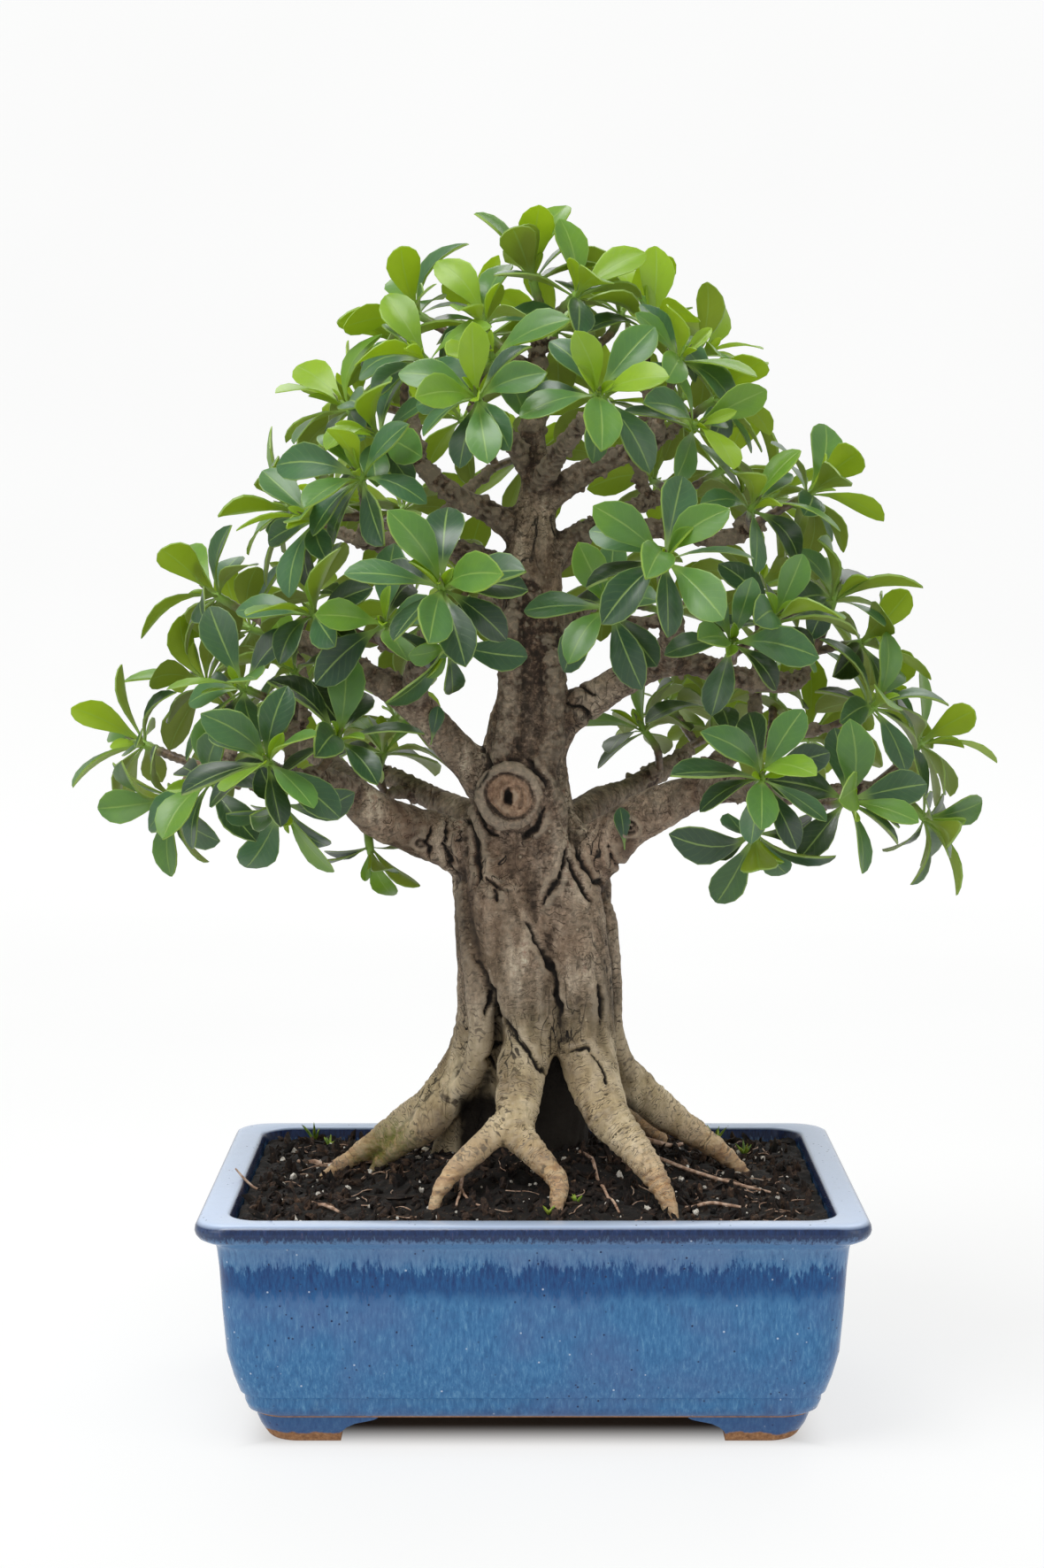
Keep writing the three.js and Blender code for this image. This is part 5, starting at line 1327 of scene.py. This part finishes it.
# %% Pot body
DEPTH_LESS = 30 * MM
OUTER_WALL = [
    (109, 11), (111.5, 13), (112.6, 16), (113, 19.5), (114.4, 20.3), (116.6, 27), (119, 37), (120.4, 54),
    (121.4, 71), (122.2, 78.4), (122.6, 80.2), (123.8, 81.4), (126.6, 82.8), (128.6, 84.2), (129.6, 85.8),
    (130, 87.4), (129.8, 89), (129.1, 90.2), (128, 90.9), (126.4, 91.1), (119.2, 91.1), (117.9, 90.7),
]
INNER_WALL = [(117.1, 89.6), (116.4, 84), (114, 62), (110, 34), (106.5, 23), (104.4, 20), (101, 19)]
CORNER_RADIUS = 12 * MM
CORNER_SEGMENTS = 10


def walled(places):
    """Levels of the pot, which is less deep than long, from (half length, height) in millimetres."""
    return [(half * MM, half * MM - DEPTH_LESS, height * MM) for half, height in places]


def stack(name, levels):
    """A closed body drawn up from a flat sheet: levels are (half length, half depth, height) in metres."""
    deselect_all()
    bpy.ops.mesh.primitive_plane_add(size=2, location=(0, 0, levels[0][2]))
    piece = named(name)
    piece.scale = (levels[0][0], levels[0][1], 1)
    settle(piece)
    edit(piece, "FACE")
    bpy.ops.mesh.select_all(action="SELECT")
    for (long, deep, low), (longer, deeper, high) in zip(levels, levels[1:]):
        bpy.ops.mesh.extrude_region()
        bpy.ops.transform.translate(value=(0, 0, high - low))
        bpy.ops.transform.resize(value=(longer / long, deeper / deep, 1), center_override=(0, 0, 0))
    close_skin()
    return piece


def round_corners(piece, radius, segments):
    """Bevels the edges that climb the four corners, which run along neither side."""
    def climbs(middle, edge):
        first, second = (piece.data.vertices[index].co for index in edge.vertices)
        return first.x * second.x > 0 and first.y * second.y > 0
    edit(piece, "EDGE")
    select_where(piece, "edges", climbs)
    bpy.ops.mesh.bevel(offset=radius, segments=segments, affect="EDGES", clamp_overlap=False)
    close_skin()


pot = stack("glazed_pot", walled(OUTER_WALL + INNER_WALL))
round_corners(pot, CORNER_RADIUS, CORNER_SEGMENTS)
print("pot body", len(pot.data.polygons))

# %% Feet and drain holes
FOOT_LEVELS = [(103.4, 0), (104.2, 0.9), (105.6, 3.4), (107, 6), (108.2, 9.4), (108.6, 12.5)]
FRONT_GAP = [(75, -2), (75, 3.2), (74.4, 4.6), (72.6, 6.4), (69.4, 8), (65, 9), (62, 9.7), (60.4, 10.5),
             (60, 14)]
FRONT_TO_END_GAP = 26.5
FRONT_CUT, END_CUT = 120 * MM, 150 * MM
UNDER_HALF_LONG, UNDER_HALF_DEEP, UNDER_CORNER = 83 * MM, 53 * MM, 6 * MM
DRAIN_PLACE = 58 * MM
DRAIN_RADIUS = 10 * MM

feet = stack("feet", walled(FOOT_LEVELS))
round_corners(feet, CORNER_RADIUS - 1 * MM, CORNER_SEGMENTS)
hollow_under = stack("hollow_under", [(UNDER_HALF_LONG, UNDER_HALF_DEEP, z * MM) for z in (-1, 14)])
round_corners(hollow_under, UNDER_CORNER, 6)
front_gap = stack("front_gap", [(half * MM, FRONT_CUT, z * MM) for half, z in FRONT_GAP])
end_gap = stack("end_gap", [(END_CUT, (half - FRONT_TO_END_GAP) * MM, z * MM) for half, z in FRONT_GAP])
for cutter in (hollow_under, front_gap, end_gap):
    combine(feet, cutter, "DIFFERENCE")
combine(pot, feet, "UNION")
for side in (-1, 1):
    deselect_all()
    bpy.ops.mesh.primitive_cylinder_add(vertices=40, radius=DRAIN_RADIUS, depth=20 * MM,
                                        location=(side * DRAIN_PLACE, 0, 15 * MM))
    combine(pot, settle(named("drain")), "DIFFERENCE")
apply_modifier(pot, "BEVEL", width=0.5 * MM, segments=2, limit_method="ANGLE", angle_limit=math.radians(48))
smooth_below(pot, 38)
print("pot", triangles(pot), "triangles")

# %% [markdown]
# ### Blue glaze
# The glaze is a thick, runny blue one. It is darkest where it lies thick, on the lip and in a pool below
# the moulding, and breaks paler where it thins over an edge. The top of the lip is painted pale, a painted
# reflection of the light above. It ran down while molten, so its colour varies in fine upright streaks,
# with violet patches, small pits and specks. On the feet's last few millimetres and on the underside the
# pot was wiped clean, and the brown stoneware shows. The glaze is a smooth coat over a slightly uneven
# body, which two scales of noise in the bump give.

# %% Glaze material
glazed_stoneware, place = start_material("blue_glazed_stoneware")
height = height_of(place)
running = stretched(place, (1, 1, 0.22))
streaks = cloud(running, 1.3, Detail=6.0, Roughness=0.7)
patches = cloud(place, 42, Detail=4.0, Roughness=0.55)
streak_blue = ramp(streaks, (0.3, "#265787"), (0.46, "#326a9b"), (0.56, "#3f76a5"), (0.72, "#6192b6"))
violet = spread(patches, 0.45, 0.68, 0, 0.42)

# The ragged pool below the moulding, the thin band over it, and the lip with its painted reflection on top
wander = spread(cloud(running, 7, Detail=5.0), 0.3, 0.7, -0.003, 0.003)
wandering = maths("ADD", height, wander)
ragged = maths("MULTIPLY_ADD", streaks, 0.02, wandering)
pool_top = spread(ragged, 0.084, 0.0815, smooth=True)
pool_foot = spread(ragged, 0.0695, 0.0745, smooth=True)
pool = times(times(pool_top, pool_foot), 0.92)
pool_blue = ramp(streaks, (0.36, "#00306a"), (0.64, "#12568e"))
thin_band = spread(ragged, 0.082, 0.088, 0, 0.26, smooth=True)
lip = spread(maths("MULTIPLY_ADD", streaks, 0.012, height), 0.0895, 0.093, smooth=True)
lip_tone = ramp(streaks, (0.35, "#081233"), (0.6, "#142c58"), (0.72, "#4c3f4e"))
edges = node("NewGeometry").outputs
facing = height_of(edges["Normal"])
# Painted reflection: the lip's upward faces are painted a pale blue white
lip_with_painted_top_light = mixed(spread(facing, 0.6, 0.95, 0, 0.85), lip_tone, "#bccde8")
thin_edge = spread(edges["Pointiness"], 0.53, 0.6, 0, 0.4)

# Pits, specks, the line of glaze over the feet, and the bare clay
pit = times(spread(cells(place, 4.2), 0.13, 0.07, smooth=True), spread(patches, 0.42, 0.55))
speck = spread(cells(place, 6.5), 0.075, 0.04, 0, 0.8)
foot_pool = spread(wandering, 0.0165, 0.0115, 0, 0.55)
clay_line = maths("MULTIPLY_ADD", wander, 0.35, height)
bare_foot = spread(clay_line, 0.0042, 0.0034, smooth=True)
underside = times(maths("LESS_THAN", facing, -0.85), maths("LESS_THAN", height, 0.0125))
bare = most(bare_foot, underside)
sandy = cloud(place, 1.6, Detail=5.0, Roughness=0.7)
clay = ramp(sandy, (0.3, "#6d4a30"), (0.55, "#9a6f4c"), (0.75, "#b98f66"))

pot_colour = layered(
    streak_blue, (violet, "#53608f"), (thin_band, "#86a0c0"), (pool, pool_blue), (lip, lip_with_painted_top_light),
    (thin_edge, "#8fa6c4"), (pit, "#16264e"), (speck, "#c3d0e2"), (foot_pool, "#1d3468"), (bare, clay))
gloss = spread(streaks, 0, 1, 0.13, 0.3)
roughness = node("Mix", {0: bare, 2: gloss, 3: 0.85}, data_type="FLOAT").outputs[0]
pit_depth = maths("MULTIPLY_ADD", pit, -0.25, cloud(place, 26, Detail=2.0))
glaze_bump = raised(maths("MULTIPLY_ADD", streaks, 0.1, pit_depth), 0.3, 1.6)
end_material(principled(pot_colour, Roughness=roughness), glaze_bump, IOR=1.52, Specular_IOR_Level=0.3)
dress(pot, glazed_stoneware)
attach(pot, "root")
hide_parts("pot")
print("glaze nodes", len(tree.nodes))

# %% [markdown]
# ## Soil
# The pot is filled to a little under its rim with a dark, loose potting mix that is heaped round the
# trunk. Its top is a fine grid raised by the same formula as in the solid model and then roughened by two
# Displace modifiers, one for clods and one for grains. The grid's edge is drawn down along the inner wall
# to the floor. Loose crumbs, white grains of perlite, a few rootlets and tiny sprigs lie on it.

# %% Soil body
SOIL_HALF_LONG = 115.6 * MM
SOIL_HALF_DEEP = 85.6 * MM
SOIL_CORNER = 9 * MM
SOIL_EDGE_TOP = 86 * MM
MOUND_HEIGHT = 17
MOUND_RADIUS = 52
SOIL_WALL = [(113.4, 62.3), (109.4, 34.3), (100.5, 19.4)]
SCREEN_SIDE, SCREEN_HEIGHT, SCREEN_MIDDLE = 28.6 * MM, 4 * MM, 19.2 * MM


def soil_height(x, y):
    """The height of the soil in metres at a place in metres, without its grains."""
    x, y = x / MM, y / MM
    mound = MOUND_HEIGHT * math.exp(-0.8 * (x * x + y * y) / MOUND_RADIUS ** 2)
    ridges = math.sin(x * 0.31 + 1.3 * math.sin(y * 0.17))
    furrows = math.cos(y * 0.27 - 0.8 * math.sin(x * 0.13))
    return SOIL_EDGE_TOP + (mound + 1.1 * ridges * furrows) * MM


deselect_all()
bpy.ops.mesh.primitive_grid_add(x_subdivisions=190, y_subdivisions=140, size=2)
soil = named("potting_soil_body")
soil.scale = (SOIL_HALF_LONG, SOIL_HALF_DEEP, 1)
settle(soil)
ground = points_of(soil)
inner = (SOIL_HALF_LONG - SOIL_CORNER, SOIL_HALF_DEEP - SOIL_CORNER)
for row in ground:
    over = [abs(row[axis]) - inner[axis] for axis in (0, 1)]
    if min(over) > 0:
        draw_in = max(over) / math.hypot(*over)
        for axis in (0, 1):
            row[axis] = math.copysign(inner[axis] + over[axis] * draw_in, row[axis])
    row[2] = soil_height(row[0], row[1])
move_points(soil, ground)
for name, kind, size, strength in (("clods", "CLOUDS", 7, 2.6), ("grains", "VORONOI", 2.6, -1.5)):
    texture = bpy.data.textures.new(name, kind)
    texture.noise_scale = size * MM
    apply_modifier(soil, "DISPLACE", texture=texture, strength=strength * MM, mid_level=0.5, direction="Z",
                   texture_coords="LOCAL")
edit(soil, "EDGE")
bpy.ops.mesh.select_all(action="SELECT")
bpy.ops.mesh.region_to_loop()
bpy.ops.mesh.extrude_region()
bpy.ops.transform.resize(value=(1, 1, 0), center_override=(0, 0, SOIL_WALL[0][1] * MM))
long, deep = SOIL_HALF_LONG, SOIL_HALF_LONG - DEPTH_LESS
for number, (half, height_mm) in enumerate(SOIL_WALL):
    if number:
        bpy.ops.mesh.extrude_region()
        bpy.ops.transform.translate(value=(0, 0, (height_mm - SOIL_WALL[number - 1][1]) * MM))
    longer, deeper = half * MM, half * MM - DEPTH_LESS
    bpy.ops.transform.resize(value=(longer / long, deeper / deep, 1), center_override=(0, 0, 0))
    long, deep = longer, deeper
bpy.ops.mesh.edge_face_add()
close_skin()
for side in (-1, 1):
    deselect_all()
    bpy.ops.mesh.primitive_cube_add(size=1, location=(side * DRAIN_PLACE, 0, SCREEN_MIDDLE))
    pocket = named("screen_pocket")
    pocket.scale = (SCREEN_SIDE, SCREEN_SIDE, SCREEN_HEIGHT)
    combine(soil, settle(pocket), "DIFFERENCE")
smooth_below(soil, 60)
print("soil", triangles(soil), "triangles")

# %% Loose grains, each size modelled once and copied
STREW_MARGIN = 4 * MM
FULL_TURN = 6.3


def grain_kind(name, seed, rough, stretch=1.25):
    """A rough grain, a metre across before it is laid."""
    deselect_all()
    bpy.ops.mesh.primitive_uv_sphere_add(segments=7, ring_count=5, radius=0.5)
    piece = named(name)
    shaped = points_of(piece)
    for row in shaped:
        row *= 1 + rough * noise.noise(Vector(row) * 2.3 + Vector((seed, 0, 0)))
    shaped[:, 0] *= stretch
    shaped[:, 1] /= math.sqrt(stretch)
    shaped[:, 2] *= 0.8
    move_points(piece, shaped)
    return piece


def strewn_at(pick):
    """A place on the soil from two draws."""
    halves = (SOIL_HALF_LONG, SOIL_HALF_DEEP)
    return [(share * 2 - 1) * (half - STREW_MARGIN) for share, half in zip(pick, halves)]


def strew(kinds, count, sizes, name, seed, sink):
    """Copies of the kinds, scattered over the soil by draws and joined as one piece."""
    laid = []
    for number in range(count):
        pick = [draw(seed + number * 6.1 + step * 1.7) for step in range(6)]
        x, y = strewn_at(pick)
        size = (sizes[0] + (sizes[1] - sizes[0]) * pick[2] ** 2) * MM
        piece = copy_of(kinds[number % len(kinds)])
        turned = Euler([share * FULL_TURN for share in pick[3:]]).to_matrix()
        spot = np.array((x, y, soil_height(x, y) + size * sink))
        move_points(piece, points_of(piece) @ np.array(turned).T * size + spot)
        mark(piece, "tint", pick[5])
        laid.append(piece)
    for kind in kinds:
        bpy.data.objects.remove(kind)
    return join(laid, name)


crumb_kinds = [grain_kind(f"crumb_{n}", 3.7 * n, 0.9, 1.1 + 0.45 * n) for n in range(5)]
crumbs = strew(crumb_kinds, 2600, (1.0, 4.2), "soil_crumbs", 11, 0.16)
perlite_kinds = [grain_kind(f"perlite_{n}", 9.1 * n, 0.7) for n in range(4)]
perlite = strew(perlite_kinds, 210, (0.8, 3.2), "perlite_grains", 5003, 0.24)
print("crumbs", triangles(crumbs), "perlite", triangles(perlite))

# %% Rootlets, twigs and green sprigs on the soil
ROOTLETS = [
    [[19, -14, 101, 0.8], [22.7, -16.8, 99.4, 0.8], [27.3, -45.4, 93.4, 0.7], [33.6, -69, 88, 0.5]],
    [[50, 5, 96, 0.9], [66, -16, 94, 0.8], [84, -24, 90.3, 0.7], [99, -28, 87.5, 0.5]],
    [[-27.4, -42.4, 102.6, 0.8], [-28.6, -52, 95, 0.7], [-30, -62.8, 88.6, 0.5]],
    [[-28, -52, 95, 0.6], [-25, -60.4, 90.8, 0.5], [-18, -66, 88, 0.4]],
    [[-66, 12, 92, 1.2], [-84, 20, 88.6, 1.1], [-99, 33, 86.4, 0.7]],
    [[38, 40, 99, 1.4], [57, 49, 91.5, 1.2], [66, 66, 87.4, 0.8]],
    [[-112, -16, 86.2, 0.6], [-117, -15, 90.5, 0.55], [-121, -14, 95, 0.4]],
    [[-88, -46, 87.4, 0.8], [-80, -55, 88.4, 0.8], [-76, -60, 87.6, 0.6]],
    [[60, -58, 88.2, 0.7], [70, -52, 89.4, 0.8], [82, -54, 88.2, 0.6]],
]
SPRIG_PLACES = [(-95, 80, 10), (-88, 72, 6), (80, 78, 9), (91, 50, 7), (17, -60.5, 4), (6, -72, 4),
                (-60, 70, 6)]
SPRIG_BLADES = 7
BLADE_OUTLINE = [(0, 0.35), (0.4, 0.55), (0.75, 0.5), (1, 0.1)]
FIBRE_COUNT = 130
FIBRE_HALF_LONG, FIBRE_HALF_DEEP = 106, 76
FIBRE_LEAST, FIBRE_MORE, FIBRE_WANDER = 5, 9, 1.4
LIE_OVER = 1.1 * MM
ROOT_ROUGHNESS = 0.12 * MM
SPRIG_SUNK, SPRIG_LEAN, SPRIG_BEND = 0.5 * MM, 0.45, 0.25


def on_soil(row):
    """The same stations, lifted where they would dip under the soil."""
    return [(Vector((x, y, max(z, soil_height(x, y) + LIE_OVER))), radius, run)
            for (x, y, z), radius, run in row]


def fibre_of(number):
    """A short loose fibre, bent by draws."""
    pick = [draw(900 + number * 4.3 + step * 2.1) for step in range(5)]
    x, y = (pick[0] * 2 - 1) * FIBRE_HALF_LONG, (pick[1] * 2 - 1) * FIBRE_HALF_DEEP
    heading, length = pick[2] * FULL_TURN, FIBRE_LEAST + FIBRE_MORE * pick[3]
    places = []
    for step in range(4):
        places.append([x, y, soil_height(x * MM, y * MM) / MM + 1.6 * pick[4], 0.24 - 0.03 * step])
        heading += FIBRE_WANDER * (draw(number * 3.3 + step) - 0.5)
        x, y = x + math.cos(heading) * length / 3, y + math.sin(heading) * length / 3
    return places


def blade_of(number, blade_number, x, y, tall):
    """One blade of a sprig: it leans out from the ground and bends over."""
    foot = Vector((x * MM, y * MM, soil_height(x * MM, y * MM) - SPRIG_SUNK))
    lean = draw(number * 13 + blade_number) * 2 * math.pi
    rise = tall * MM * (0.5 + 0.5 * draw(number * 7 + blade_number * 3))
    way = Vector((math.cos(lean) * SPRIG_LEAN, math.sin(lean) * SPRIG_LEAN, 1))
    bend_over = Vector((math.cos(lean), math.sin(lean), 0)) * rise * SPRIG_BEND
    return [(foot + way * rise * share + bend_over * share ** 2, radius * MM, 0.0)
            for share, radius in BLADE_OUTLINE]


root_places = ROOTLETS + [fibre_of(number) for number in range(FIBRE_COUNT)]
rootlets = tubes("rootlets", [on_soil(stations(*limb_of(places), 2 * MM)) for places in root_places])
root_skin = points_of(rootlets)
root_skin += points_of(rootlets, "normal") * (ROOT_ROUGHNESS * noise_at(root_skin, 2, 4.4))[:, None]
move_points(rootlets, root_skin)
sprigs = tubes("green_sprigs", [blade_of(number, blade_number, *place)
                                for number, place in enumerate(SPRIG_PLACES)
                                for blade_number in range(SPRIG_BLADES)])
print("rootlets", triangles(rootlets), "sprigs", triangles(sprigs))

# %% Soil, perlite, root and sprig materials
def grained(name, millimetres, detail, tones, roughness, bump=None):
    """A plain material: one noise picks the tone, and a bump of (strength, millimetres) raises it."""
    material, place = start_material(name)
    grains = cloud(place, millimetres, Detail=detail)
    end_material(principled(ramp(grains, *tones)), bump and raised(grains, *bump), Roughness=roughness)
    return material


potting_soil, place = start_material("dark_potting_soil")
clods = cloud(place, 5, Detail=8.0, Roughness=0.72)
earth = ramp(clods, (0.34, "#070404"), (0.48, "#19110d"), (0.6, "#33251b"), (0.74, "#6b5442"))
own_light = spread(attribute("tint"), 0, 1, 0.4, 2.9)
earthy = node("HueSaturation", {"Color": earth, "Value": own_light}).outputs[0]
fibre = spread(cells(place, 2.3), 0.16, 0.08, 0, 0.35)
end_material(principled(mixed(fibre, earthy, "#8a7256")), raised(clods, 0.8, 1.2), Roughness=0.95)

chalk = [(0.35, "#a89f92"), (0.5, "#d9d3c8"), (0.65, "#f0ece4")]
perlite_white = grained("expanded_perlite", 1.2, 5.0, chalk, 0.9, (0.7, 0.5))
tan = [(0.32, "#7a5a44"), (0.5, "#b0907a"), (0.68, "#d6bda8")]
rootlet_skin = grained("tan_rootlet_skin", 2.6, 5.0, tan, 0.8, (0.5, 0.4))
fresh = [(0.35, "#4c6a1e"), (0.5, "#7d9c2a"), (0.65, "#b0c04a")]
sprig_green = grained("green_sprig", 4, 3.0, fresh, 0.55)

for piece, finish, slot in ((soil, potting_soil, "potting_soil"), (crumbs, potting_soil, "potting_soil"),
                            (perlite, perlite_white, "potting_soil"), (rootlets, rootlet_skin, "bark"),
                            (sprigs, sprig_green, "leaf")):
    dress(piece, finish)
    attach(piece, "root")
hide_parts("soil")
print("soil pieces dressed")

# %% [markdown]
# ## Drain screens
# A square of plastic mesh lies over each drain hole, so that the soil stays in. It hardly shows, only
# from below through the hole, so the solid model's own screens are kept and given their plastic.

# %% Screen material
screen_plastic, place = start_material("black_mesh_plastic")
dust = cloud(place, 5, Detail=4.0)
black = ramp(dust, (0.4, "#141414"), (0.6, "#262523"), (0.75, "#4a4034"))
end_material(principled(black, Roughness=spread(dust, 0, 1, 0.35, 0.6)), IOR=1.49)
for name in ("drain_screen_left", "drain_screen_right"):
    for material_slot in bpy.data.objects[name].material_slots:
        material_slot.material = screen_plastic
print("screens dressed")
